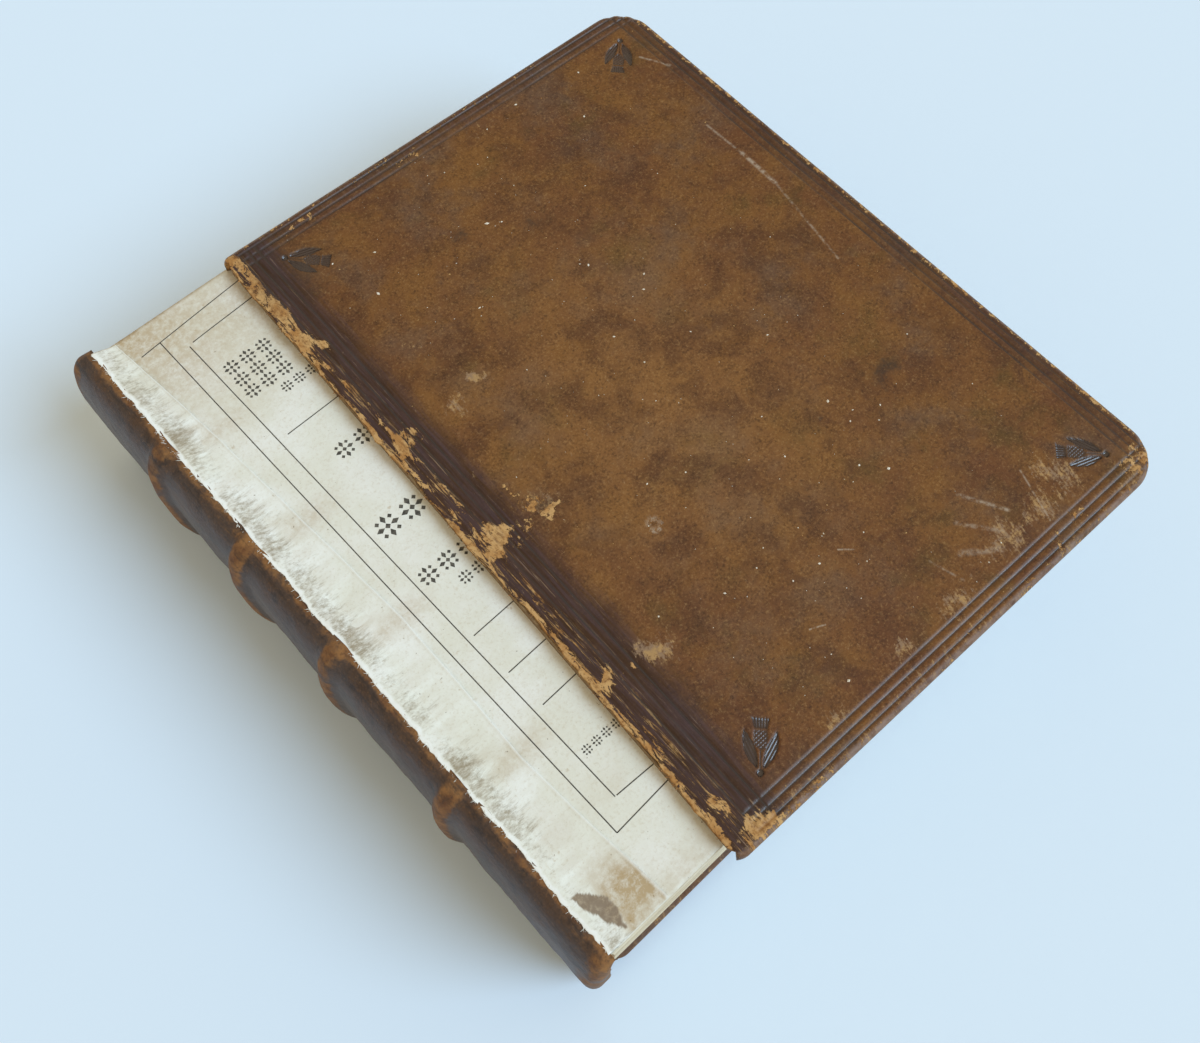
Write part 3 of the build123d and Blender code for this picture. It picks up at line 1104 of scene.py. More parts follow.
@dataclass
class CoverLeather:
    """Leather of one board: tooled outer face, rounded edges, turn-ins and a torn spine edge."""

    name: str
    node: str
    body: str
    centre: Pair
    face_z: float
    outward: int
    turn: float = 0.0
    lean: float = 0.0
    torn: float = 0.0
    marks: tuple[Mark, ...] = ()
    spine_wear: float = 0.3
    width: float = 144.3
    height: float = 200.0
    thickness: float = 4.0
    leather: float = 0.8
    corner: float = 11.0
    edge_round: float = 1.4
    spine_corner: float = 3.0
    squeeze: float = 6.4
    fine: float = 0.3
    coarse: float = 0.95
    grid_start: float = 0.2
    jag: Pair = (1.6, 0.9)
    swell: float = 0.25
    flake_sink: float = 0.12
    fray_reach: float = 0.25
    turn_in: Pair = (1.5, 4.6)
    turn_in_skin: float = 0.4
    dust_seed: int = 19
    fray_seed: int = 23
    coarse_columns: Pair = (29.0, 116.0)
    coarse_rows: Pair = (26.0, 174.0)
    tooling: Tooling = field(init=False)

    def __post_init__(self) -> None:
        """Lay out the tooling for this board's size."""
        self.tooling = Tooling(self.width, self.height)

    def place(self, x: np.ndarray, y: np.ndarray, lift: np.ndarray) -> np.ndarray:
        """Points of the book's frame for points of the board's frame.

        Args:
            x: Distance from the spine edge.
            y: Distance from the tail edge.
            lift: Height out of the outer face.

        Returns:
            One point in each row.
        """
        turn = math.radians(self.turn)
        across, along = x - self.width / 2, y - self.height / 2
        right = self.centre[0] + across * math.cos(turn) - along * math.sin(turn)
        up = self.centre[1] + across * math.sin(turn) + along * math.cos(turn)
        return in_rows(right, up, self.face_z + self.outward * lift)

    def spine_edge(self, y: np.ndarray) -> np.ndarray:
        """Pair of the torn spine edge at each height of the board."""
        jag = sway(y, y * 0, 9, 5) * self.jag[0] + sway(y, y * 0, 2.2, 6) * self.jag[1]
        return self.lean * y / self.height + self.torn * jag

    def plan(self) -> tuple[np.ndarray, np.ndarray]:
        """Grid of the outer face, rounded at the corners and drawn in at the spine edge.

        Returns:
            Distances from the spine edge and from the tail edge.
        """
        edge, far, top = self.edge_round, self.width - self.edge_round, self.height - self.edge_round
        steps = (self.fine, self.coarse, self.fine)
        columns = graded(self.grid_start, list(zip((*self.coarse_columns, far), steps)))
        rows = graded(edge, list(zip((*self.coarse_rows, top), steps)))
        x, y = np.meshgrid(columns, rows)
        mid_y = self.height / 2
        fore, near = self.corner - edge, self.spine_corner
        for low_x, reach, way in ((far - fore, fore, 1), (columns[0] + near, near, -1)):
            flat = mid_y - edge - reach
            a = np.clip((x - low_x) * way / reach, 0, 1)
            b = np.clip((np.abs(y - mid_y) - flat) / reach, 0, 1)
            both = (a > 0) & (b > 0)
            x = np.where(both, low_x + way * reach * a * np.sqrt(1 - b * b / 2), x)
            y = np.where(both, mid_y + np.sign(y - mid_y) * (flat + reach * b * np.sqrt(1 - a * a / 2)), y)
        left = self.spine_edge(y)
        share = np.clip((x - columns[0]) / (self.squeeze - columns[0]), 0, 1)
        return np.where(x < self.squeeze, left + share * (self.squeeze - left), x), y

    def wear(self, x: np.ndarray, y: np.ndarray) -> dict[str, np.ndarray]:
        """Fields that the finish reads, at points of the board's frame.

        Args:
            x: Distance from the spine edge.
            y: Distance from the tail edge.

        Returns:
            Values by attribute name.
        """
        inside = x - self.spine_edge(y)
        waver = sway(y, x, 20, 3) * 4
        strip = fall(x + waver, 11.5, 19)
        edge = np.minimum.reduce([y, self.height - y, self.width - x])
        past = np.maximum(x - (self.width - self.corner), 0)
        up = np.maximum(np.abs(y - self.height / 2) - (self.height / 2 - self.corner), 0)
        edge = np.minimum(edge, np.where((past > 0) & (up > 0), self.corner - np.hypot(past, up), edge))
        rim = fall(edge, 0.3, 3.2) * (0.3 + 0.6 * cloud(x, y, 13, 44))
        rim = np.maximum(rim, rise(x, self.width - 2.4, self.width - 1.2) * self.spine_wear * 0.75)
        torn_band = 0.9 + 2.6 * rise(y, 150, 172) + 2.6 * (cloud(y, y * 0, 9, 45) - 0.45)
        torn_edge = rise(torn_band - inside, -0.9, 0.5) * 0.85
        crease = np.exp(-(((x - 6.3) / 0.9) ** 2)) * rise(y, 80, 100) * fall(y, 140, 158) * 0.42
        tail_scuff = fall(y, 1, 7) * (0.1 + 1.1 * cloud(x, y, 11, 48))
        fields = {
            "strip": np.maximum(strip * 0.95, fall(edge, 2.5, 9) * 0.55 * rise(y, 2, 30)),
            "flake": np.maximum.reduce([rim * 0.85, torn_edge, crease * self.spine_wear]),
            "pale": np.maximum(fall(edge, 0.2, 2.2) * 0.35, tail_scuff),
            "stain": np.zeros_like(x),
            # Painted highlight along the tail edge of the outer face.
            "painted_sheen": fall(y, 0.2, 2.2) * 0.4,
            "glow": np.exp(-(((x - 58) / 44) ** 2) - ((y - 92) / 60) ** 2),
            "crack": fall(x, 5.5, 8.5) * self.spine_wear * (0.55 + 0.6 * cloud(x, y, 25, 46)),
        }
        sway_x = x + sway(x, y, 5, 51, 3) * 7
        sway_y = y + sway(x, y, 5, 52, 3) * 7
        for mark in self.marks:
            blot = np.exp(-(((sway_x - mark.x) / mark.across) ** 2 + ((sway_y - mark.y) / mark.along) ** 2))
            fields[mark.kind.value] = np.maximum(fields[mark.kind.value], mark.strength * blot)
        return fields

    def build(self, material: bpy.types.Material) -> None:
        """Make the leather as a closed shell around the board.

        Args:
            material: Finish of the leather.
        """
        x, y = self.plan()
        rows, columns = x.shape
        fields = self.wear(x, y)
        across, along = self.tooling.local(x, y)
        fields |= self.tooling.thistle(across, along)
        fields |= {"groove": self.tooling.grooves(x, y), "tool_across": across, "tool_along": along}
        lift = -fields["groove"] * self.tooling.line_depth - fields["tool"] * self.tooling.tool_depth
        lift = lift + sway(x, y, 26, 2, 3) * self.swell - self.flake_sink * fields["flake"]
        loop = rim_loop(rows, columns)
        torn = loop % columns == 0
        ring_x, ring_y, ring_lift = x.ravel()[loop], y.ravel()[loop], lift.ravel()[loop]
        out_x = np.roll(ring_y, -1) - np.roll(ring_y, 1)
        out_y = np.roll(ring_x, 1) - np.roll(ring_x, -1)
        length = np.hypot(out_x, out_y)
        out_x, out_y = out_x / length, out_y / length
        worn = np.where(np.abs(out_x) > 0.5, 0.25, 0.05) + 0.65 * cloud(ring_x, ring_y, 22, 47)
        profile = self.profile()
        points = [self.place(x, y, lift)]
        fields |= {"board_x": x, "board_y": y}
        tail = fall(ring_y, 1, 4)
        ring_fields = {key: [values.ravel()] for key, values in fields.items()}
        for step, (out, drop) in enumerate(profile):
            sunk = self.leather * (step + 1) / len(profile)
            fray = self.fray_reach * sway(ring_y, ring_y * 0 + 3.0 * step, 1.4, 12)
            reach = np.where(torn, fray, out)
            settle = ring_lift * max(0.0, 1 - drop / self.edge_round)
            height = np.where(torn, ring_lift - sunk, settle - drop)
            edge_x, edge_y = ring_x + out_x * reach, ring_y + out_y * reach
            points.append(self.place(edge_x, edge_y, height))
            bare = {
                "flake": np.where(torn, 0.8, worn * (1.0 if drop < 2 else 0.5)),
                "pale": 0.3 + 0.5 * tail * cloud(ring_x, ring_y, 9, 49),
                "strip": 0.65 - 0.35 * tail,
                # Painted highlight on the rounding of the edges, weaker down the walls.
                "painted_sheen": np.where(torn, 0, 0.5 if drop < 0.9 else 0.12),
                "board_x": edge_x,
                "board_y": edge_y + drop,
            }
            for key in ring_fields:
                ring_fields[key].append(bare.get(key, np.zeros(len(loop))))
        faces = quads(rows, columns).tolist()
        count, rings = len(loop), len(profile)
        first = rows * columns
        chain = [loop] + [np.arange(first + k * count, first + (k + 1) * count) for k in range(rings)]
        for above, below in zip(chain[:-1], chain[1:]):
            faces += np.stack([above, below, np.roll(below, -1), np.roll(above, -1)], 1).tolist()
        faces.append(chain[-1][::-1].tolist())
        values = {key: np.concatenate(parts) for key, parts in ring_fields.items()}
        piece = make_piece(self.name, np.concatenate(points), faces, material, values)
        seat(piece, self.body, "cover_calf", self.node)

    def dust(self, count: int, strewer: Strewer) -> None:
        """Strew pale grains of dust over the outer face.

        Args:
            count: Number of grains.
            strewer: Sets the grains.
        """
        draw = np.random.default_rng(self.dust_seed)
        x = draw.triangular(12, 55, self.width - 6, count)
        y = draw.uniform(8, self.height - 6, count)
        radius = 0.07 + 0.62 * draw.beta(0.55, 5.6, count)
        places = self.place(x, y, x * 0 + 0.04)
        turns = in_rows(x * 0, x * 0, draw.uniform(0, 6.3, count))
        sizes = in_rows(radius * draw.uniform(1.0, 1.9, count), radius, radius * 0.6)
        chalk = PlainFinish("dust", srgb(236, 228, 214), srgb(208, 192, 166)).dress()
        piece = strewer.strew(f"{self.name}_dust", Template.GRAIN, places, turns, sizes, chalk, 5)
        seat(piece, self.body, "cover_calf")

    def fray(self, count: int, strewer: Strewer) -> None:
        """Set loose leather fibres along the torn spine edge.

        Args:
            count: Number of fibres.
            strewer: Sets the fibres.
        """
        draw = np.random.default_rng(self.fray_seed)
        y = draw.uniform(4, self.height - 4, count)
        x = self.spine_edge(y) + draw.uniform(0.1, 0.6, count)
        places = self.place(x, y, draw.uniform(-0.9, -0.1, count))
        lean = math.radians(self.turn)
        turns = in_rows(x * 0, draw.uniform(-0.2, 0.5, count), lean + draw.uniform(1.9, 4.4, count))
        sizes = np.tile([0.9, 0.06, 0.06], (count, 1))
        hide = PlainFinish("leather_fibre", srgb(176, 122, 66), srgb(110, 72, 42)).dress()
        piece = strewer.strew(f"{self.name}_fibres", Template.FIBRE, places, turns, sizes, hide, 9, 0.5)
        seat(piece, self.body, "cover_calf")

    def profile(self) -> list[Pair]:
        """Section round the edges, from the outer face to the turn-in.

        Returns:
            Outward reach and drop of each ring.
        """
        bend = [math.radians(a) for a in (22.5, 45, 67.5, 90)]
        curve = [(self.edge_round * math.sin(a), self.edge_round * (1 - math.cos(a))) for a in bend]
        deep, out, skin = self.thickness, self.edge_round, self.turn_in_skin
        near, inner = self.turn_in
        wall = [(out, deep * 0.55), (out, deep * 0.8), (out, deep - 0.3)]
        wall += [(out - 0.1, deep - 0.1), (out - 0.3, deep)]
        turn_in = [(-near, deep), (-inner, deep), (-inner, deep - skin)]
        core = out - self.leather
        return curve + wall + turn_in + [(core, deep - skin), (core, deep * 0.5), (core, self.leather)]


@dataclass
class Spine:
    """Leather over the rounded back, with raised bands, caps and a torn front joint."""

    bands: tuple[float, ...] = BANDS
    leather: float = 0.9
    out_tail: float = 7.5
    out_head: float = 8.6
    half: float = 23.7
    band_rise: float = 2.1
    band_half: float = 4.2
    band_spread: float = 0.35
    relief: Pair = (0.9, 0.35)
    cap_roll: float = 3.2
    cap_lip: float = 2.2
    tail_sink: float = 1.4
    head_sink: float = 4.2
    around: int = 96
    pitch: float = 0.7

    def path(self, tail: float, head: float) -> tuple[np.ndarray, np.ndarray]:
        """Way along the outer face and over both caps.

        Args:
            tail: Outer end of the tail cap.
            head: Outer end of the head cap.

        Returns:
            Pair along the spine and distance in from the outer face.
        """
        bend = np.radians(np.arange(15, 91, 15))
        roll = self.cap_roll
        over_y, over_in = roll * np.sin(bend), roll * (1 - np.cos(bend))
        lip = roll + np.linspace(0.5, self.cap_lip, 4)
        count = round((head - tail - 2 * roll) / self.pitch)
        run = np.linspace(tail + roll, head - roll, count)
        at_tail, at_head = np.full(len(lip), tail), np.full(len(lip), head)
        y = np.concatenate([at_tail, (tail + roll - over_y)[::-1], run, head - roll + over_y, at_head])
        inset = np.concatenate([lip[::-1], over_in[::-1], run * 0, over_in, lip])
        return y, inset

    def band(self, y: np.ndarray) -> np.ndarray:
        """Share of the full band height.

        Args:
            y: Places along the spine.

        Returns:
            One share for each place.
        """
        share = np.zeros_like(y)
        for place in self.bands:
            near = np.clip(np.abs(y - place) / self.band_half, 0, 1)
            share = np.maximum(share, (1 - near**2) ** 1.5)
        return share

    def build(self, material: bpy.types.Material) -> None:
        """Make the spine leather as a closed shell.

        Args:
            material: Finish of the leather.
        """
        low, high = node_box("spine_leather")
        crest, middle = high[0], (low[2] + high[2]) / 2
        y, inset = self.path(low[1], high[1])
        along, inward = np.gradient(y), np.gradient(inset)
        size = np.hypot(along, inward)
        inner_y = y - self.leather * inward / size
        inner_in = self.leather * along / size
        angle = np.pi * (0.5 - 0.5 * np.cos(np.linspace(0, np.pi, self.around)) * 0.999)
        rounding = 2 / BACK_SQUARENESS
        sides = np.sign(np.cos(angle)) * np.abs(np.cos(angle)) ** rounding
        backs = np.abs(np.sin(angle)) ** rounding
        backs[[0, -1]] = 0.0
        cap = np.abs(np.sin(angle)) ** 0.4
        path_y = np.concatenate([y, inner_y[::-1]])
        path_in = np.concatenate([inset, inset[::-1]])
        skin = np.concatenate([y * 0, inner_in[::-1]])
        outer = np.concatenate([y * 0 + 1, y[::-1] * 0])
        turn, road = np.meshgrid(angle, path_y, indexing="ij")
        share = np.clip((road - low[1]) / (high[1] - low[1]), 0, 1)
        sunk = 1 - np.sin(turn) ** 0.7
        at_tail, at_head = fall(road - low[1], 1, 8), rise(road - high[1], -8, -1)
        road = road + sunk * (self.tail_sink * at_tail - self.head_sink * at_head)
        band = self.band(road)
        reach = self.out_tail + (self.out_head - self.out_tail) * share + self.band_rise * band
        drop = path_in[None, :] * cap[:, None] + skin[None, :]
        broad, small = sway(turn * 16, road, 11, 21), sway(turn * 16, road, 3, 22)
        relief = broad * self.relief[0] + small * self.relief[1]
        relief = relief * outer[None, :] * np.sin(turn) ** 0.5
        x = crest - (reach - drop + relief) * backs[:, None]
        z = middle + (self.half + self.band_spread * band - drop + 0.3 * relief) * sides[:, None]
        rows, columns = x.shape
        torn = fall(turn, 0.0, 0.16)
        x = x + torn * sway(road, road * 0, 5, 8) * 0.8 * outer[None, :]
        points = in_rows(x, road, np.maximum(z, low[2]))
        joint_rub = fall(turn, 0.03, 0.08 + 0.36 * cloud(road, turn * 9, 9, 24, 3))
        rub = np.maximum(rise(band, 0.15, 0.8), joint_rub * 0.9)
        ends = np.maximum(fall(road - low[1], 2, 9), rise(road - high[1], -9, -2))
        rub = np.maximum(rub, ends * 0.9) * (0.15 + 1.2 * cloud(turn * 20, road, 6, 23, 3))
        faces = quads(rows, columns, wrap=True).tolist()
        pair = columns // 2
        for end in (np.arange(columns), np.arange((rows - 1) * columns, rows * columns)):
            near, far = end[:pair], end[::-1][:pair]
            faces += np.stack([near[:-1], near[1:], far[1:], far[:-1]], 1).tolist()
        piece = make_piece("spine_calf_leather", points, faces, material, {"rub": rub})
        seat(piece, BLOCK, "spine_calf", "spine_leather")


@dataclass
class Endbands:
    """Thread wound over a core at both ends of the block's back."""

    turns: int = 78
    inset: float = 1.5
    half: float = 1.3
    thread: float = 0.52
    below_top: float = 2.6
    end_angle: float = 0.16
    rise_share: float = 0.44
    seat_share: float = 0.9

    def build(self, thread: bpy.types.Material, strewer: Strewer) -> None:
        """Wind both endbands.

        Args:
            thread: Finish of the thread.
            strewer: Sets the turns of thread.
        """
        low, high = node_box("text_block")
        leather_low, leather_high = node_box("spine_leather")
        angle = np.linspace(self.end_angle, np.pi - self.end_angle, self.turns)
        rounding = 2 / BACK_SQUARENESS
        depth = BACK_SHARE * (CREST_X - low[0])
        x = CREST_X - depth * np.sin(angle) ** rounding + self.inset
        half_z = (high[2] - low[2]) / 2 - self.below_top
        z = (low[2] + high[2]) / 2 + half_z * np.sign(np.cos(angle)) * np.abs(np.cos(angle)) ** rounding
        lean = np.arctan2(np.gradient(x), np.gradient(z))
        for name, end, cap in (("tail", low[1], leather_low[1]), ("head", high[1], leather_high[1])):
            reach = (cap - end) * self.rise_share * np.sin(angle) ** 0.5
            places, turns = in_rows(x, end + reach * self.seat_share, z), in_rows(x * 0, lean, x * 0)
            sizes = in_rows(x * 0 + self.half, np.abs(reach), x * 0 + self.thread)
            title = f"{name}_endband_thread"
            piece = strewer.strew(title, Template.BEAD, places, turns, sizes, thread, 11, 0.06)
            seat(piece, BLOCK, "endband_thread", f"{name}_endband")


@dataclass
class TextBlock:
    """Sewn leaves: uneven cut edges, a rounded back, a hollow fore-edge and the plain last leaf."""

    leaf: float = 0.3
    hollow: float = 4.0
    across: int = 70
    upright: int = 14
    unevenness: float = 0.1
    seed: int = 41
    gathering: int = 6
    gather_shift: float = 0.16
    edge_shares: Pair = (0.04, 0.96)
    last_inset: float = 0.4
    last_sheet: float = 0.05

    def build(self, edges: bpy.types.Material, paper: bpy.types.Material) -> None:
        """Make the block as a stack of leaves with their own small shifts.

        Args:
            edges: Finish of the cut edges.
            paper: Finish of the last leaf.
        """
        low, high = node_box("text_block")
        bottom, top = low[2] + SHOULDER_RISE, high[2] - SHOULDER_RISE
        right = high[0]
        middle, half = (bottom + top) / 2, (top - bottom) / 2
        count = round((top - bottom) / self.leaf)
        draw = np.random.default_rng(self.seed)
        shifts = draw.normal(0, self.gather_shift, count // self.gathering + 1)
        gather = np.repeat(shifts, self.gathering)[:count]
        tail_shift = gather + draw.normal(0, self.unevenness, count)
        head_shift = -gather * 0.7 + draw.normal(0, self.unevenness, count)
        fore_shift = draw.normal(0, self.unevenness, count) + gather * 0.5
        loops = []
        for number in range(count):
            for end in self.edge_shares:
                z = bottom + (number + end) * self.leaf
                bow = ((z - middle) / half) ** 2
                fore = right - self.hollow * (1 - bow) + fore_shift[number]
                back = max(0.0, 1 - bow ** (BACK_SQUARENESS / 2)) ** (1 / BACK_SQUARENESS)
                left = CREST_X - BACK_SHARE * (CREST_X - low[0]) * back
                tail, head = low[1] + tail_shift[number], high[1] + head_shift[number]
                x = np.linspace(left, fore, self.across)
                waver = 0.12 * sway(x, x * 0 + z, 30, 7)
                span = np.linspace(tail, head, self.upright + 2)[1:-1]
                xs = np.concatenate([x, span * 0 + fore, x[::-1], span * 0 + left])
                ys = np.concatenate([tail + waver, span, head + waver[::-1], span[::-1]])
                loops.append(in_rows(xs, ys, xs * 0 + z))
        size = len(loops[0])
        faces = quads(len(loops), size, wrap=True).tolist()
        faces.append(list(range(size))[::-1])
        faces.append(list(range(size * (len(loops) - 1), size * len(loops))))
        piece = make_piece("text_leaves", np.concatenate(loops), faces, edges, smooth=False)
        seat(piece, BLOCK, "text_paper", "text_block")
        columns = np.linspace(CREST_X + self.last_inset, right - self.last_inset, 30)
        x, y = np.meshgrid(columns, np.linspace(low[1] + self.last_inset, high[1] - self.last_inset, 40))
        points, sides = sheet_shell(x, y, x * 0 + bottom + self.last_sheet, self.last_sheet)
        age = np.tile((0.15 + 0.35 * cloud(x, y, 30, 55)).ravel(), 2)
        seat(make_piece("last_leaf", points, sides, paper, {"age": age}), BLOCK, "text_paper")


def page_height(x: np.ndarray, y: np.ndarray) -> np.ndarray:
    """Height of the title leaf over the block's flat top, in millimetres."""
    buckle = 0.25 * cloud(x * 0.35 + y * 0.2, y, 9, 54, 2)
    return 0.08 + 0.55 * cloud(x, y, 30, 51, 2) + 0.1 * cloud(x, y, 7, 52) + buckle


def sheet_shell(x: np.ndarray, y: np.ndarray, z: np.ndarray, thickness: float) -> tuple[np.ndarray, list]:
    """Closed thin sheet from a grid of its upper face.

    Args:
        x: First coordinate of each grid point.
        y: Second coordinate.
        z: Height of the upper face.
        thickness: Thickness all over.

    Returns:
        Points and faces.
    """
    rows, columns = x.shape
    count = rows * columns
    faces, loop = quads(rows, columns), rim_loop(rows, columns)
    after = np.roll(loop, -1)
    rim = np.stack([loop, loop + count, after + count, after], 1)
    points = np.concatenate([in_rows(x, y, z), in_rows(x, y, z - thickness)])
    return points, np.concatenate([faces, (faces + count)[:, ::-1], rim]).tolist()


@dataclass
class TitleLeaf:
    """First leaf of the block: its sheet and the ruled frames and ornaments printed on it."""

    thickness: float = 0.15
    rule_half: float = 0.14
    rule_step: float = 1.5
    ink_lift: float = 0.02
    pitch: float = 1.12
    row_count: int = 195
    fine_to: float = -20.0
    tail_over: float = 0.05
    head_inset: float = 0.2
    fore_inset: float = 0.3
    under: float = -30.0
    frames: tuple = (
        ((-59.95, 87.9), (-56.95, -81.6)), ((-54.95, 81.7), (-52.05, -75.7)),
        ((-56.95, -81.6), (under, -80.3)), ((-51.6, -75.7), (under, -76.7)),
        ((-65.85, 87.2), (under, 90.5)), ((-53.65, 82.2), (under, 83.7)))
    short_rules: tuple = ((-51.55, 44.0), (-51.15, -27.1), (-50.95, -39.1), (-50.15, -49.9))
    rows: tuple = (
        (-50.6, 69.3, 4.4, 3), (-50.6, 64.7, 4.4, 3), (-50.6, 60.2, 4.4, 3), (-43.4, 55.4, 3.4, 3),
        (-43.6, 31.4, 5.2, 3), (-48.6, 7.8, 6.6, 3), (-49.4, -8.6, 5.2, 4), (-43.2, -14.7, 3.6, 3),
        (-49.6, -64.0, 2.6, 6))

    def build(self, paper: bpy.types.Material, strewer: Strewer) -> None:
        """Make the leaf that the title is printed on.

        Args:
            paper: Finish of the paper.
            strewer: Sets the printed ornaments.
        """
        low, high = node_box("text_block")
        top = high[2] - SHOULDER_RISE
        columns = graded(LEDGE_X, [(self.fine_to, 1.0), (high[0] - self.fore_inset, 3.0)])
        rows = np.linspace(low[1] - self.tail_over, high[1] - self.head_inset, self.row_count)
        x, y = np.meshgrid(columns, rows)
        z = top + page_height(x, y)
        head = rise(y, 40, 96)
        gutter = fall(x, -70, -45)
        age = 0.1 + 0.85 * head * (0.6 + 0.4 * gutter) + 0.3 * fall(y, -99, -88)
        age = np.maximum(age, 0.5 * near_bands(y, 4, 3) * fall(x, -60, -46))
        points, faces = sheet_shell(x, y, z, self.thickness)
        values = {"age": np.tile((age * (0.6 + 0.7 * cloud(x, y, 16, 53))).ravel(), 2)}
        piece = make_piece("title_leaf", points, faces, paper, values)
        seat(piece, BLOCK, "text_paper")
        ink = PlainFinish("printing_ink", srgb(66, 62, 56), srgb(104, 98, 88), 0.8).dress()
        self.print_rules(top, ink)
        self.print_rows(top, ink, strewer)

    def print_rules(self, top: float, ink: bpy.types.Material) -> None:
        """Print the ruled frames and the short rules between the rows.

        Args:
            top: Height of the block's flat top.
            ink: Finish of the print.
        """
        short = [((x, y), (self.under, y + 0.6)) for x, y in self.short_rules]
        points, faces, count = [], [], 0
        for start, end in list(self.frames) + short:
            length = math.dist(start, end)
            share = np.linspace(0, 1, max(2, round(length / self.rule_step)))[:, None]
            line = np.array(start) + share * np.subtract(end, start)
            aside = np.array([start[1] - end[1], end[0] - start[0]]) / length * self.rule_half
            x = np.stack([line[:, 0] - aside[0], line[:, 0] + aside[0]], 1)
            y = np.stack([line[:, 1] - aside[1], line[:, 1] + aside[1]], 1)
            part, sides = sheet_shell(x, y, top + page_height(x, y) + self.ink_lift, self.ink_lift * 2)
            points.append(part)
            faces += [[i + count for i in face] for face in sides]
            count += len(part)
        seat(make_piece("printed_rules", np.concatenate(points), faces, ink), BLOCK, "text_paper")

    def print_rows(self, top: float, ink: bpy.types.Material, strewer: Strewer) -> None:
        """Print rows of small type ornaments.

        Args:
            top: Height of the block's flat top.
            ink: Finish of the print.
            strewer: Sets the ornaments.
        """
        cells = [(x + i * size * self.pitch, y, size)
                 for x, y, size, count in self.rows for i in range(count)]
        x, y, size = np.array(cells).T
        places, turns = in_rows(x, y, x * 0 + top), np.zeros((len(x), 3))
        sizes = in_rows(size, size, size * 0 + 2 * self.ink_lift)
        piece = strewer.strew("printed_ornaments", Template.FLEURON, places, turns, sizes, ink, 1, 0.0)
        points = np.zeros(len(piece.data.vertices) * 3)
        piece.data.vertices.foreach_get("co", points)
        points = points.reshape(-1, 3) / MM
        points[:, 2] += page_height(points[:, 0], points[:, 1]) - self.ink_lift
        piece.data.vertices.foreach_set("co", (points * MM).ravel())
        piece.data.update()
        seat(piece, BLOCK, "text_paper")


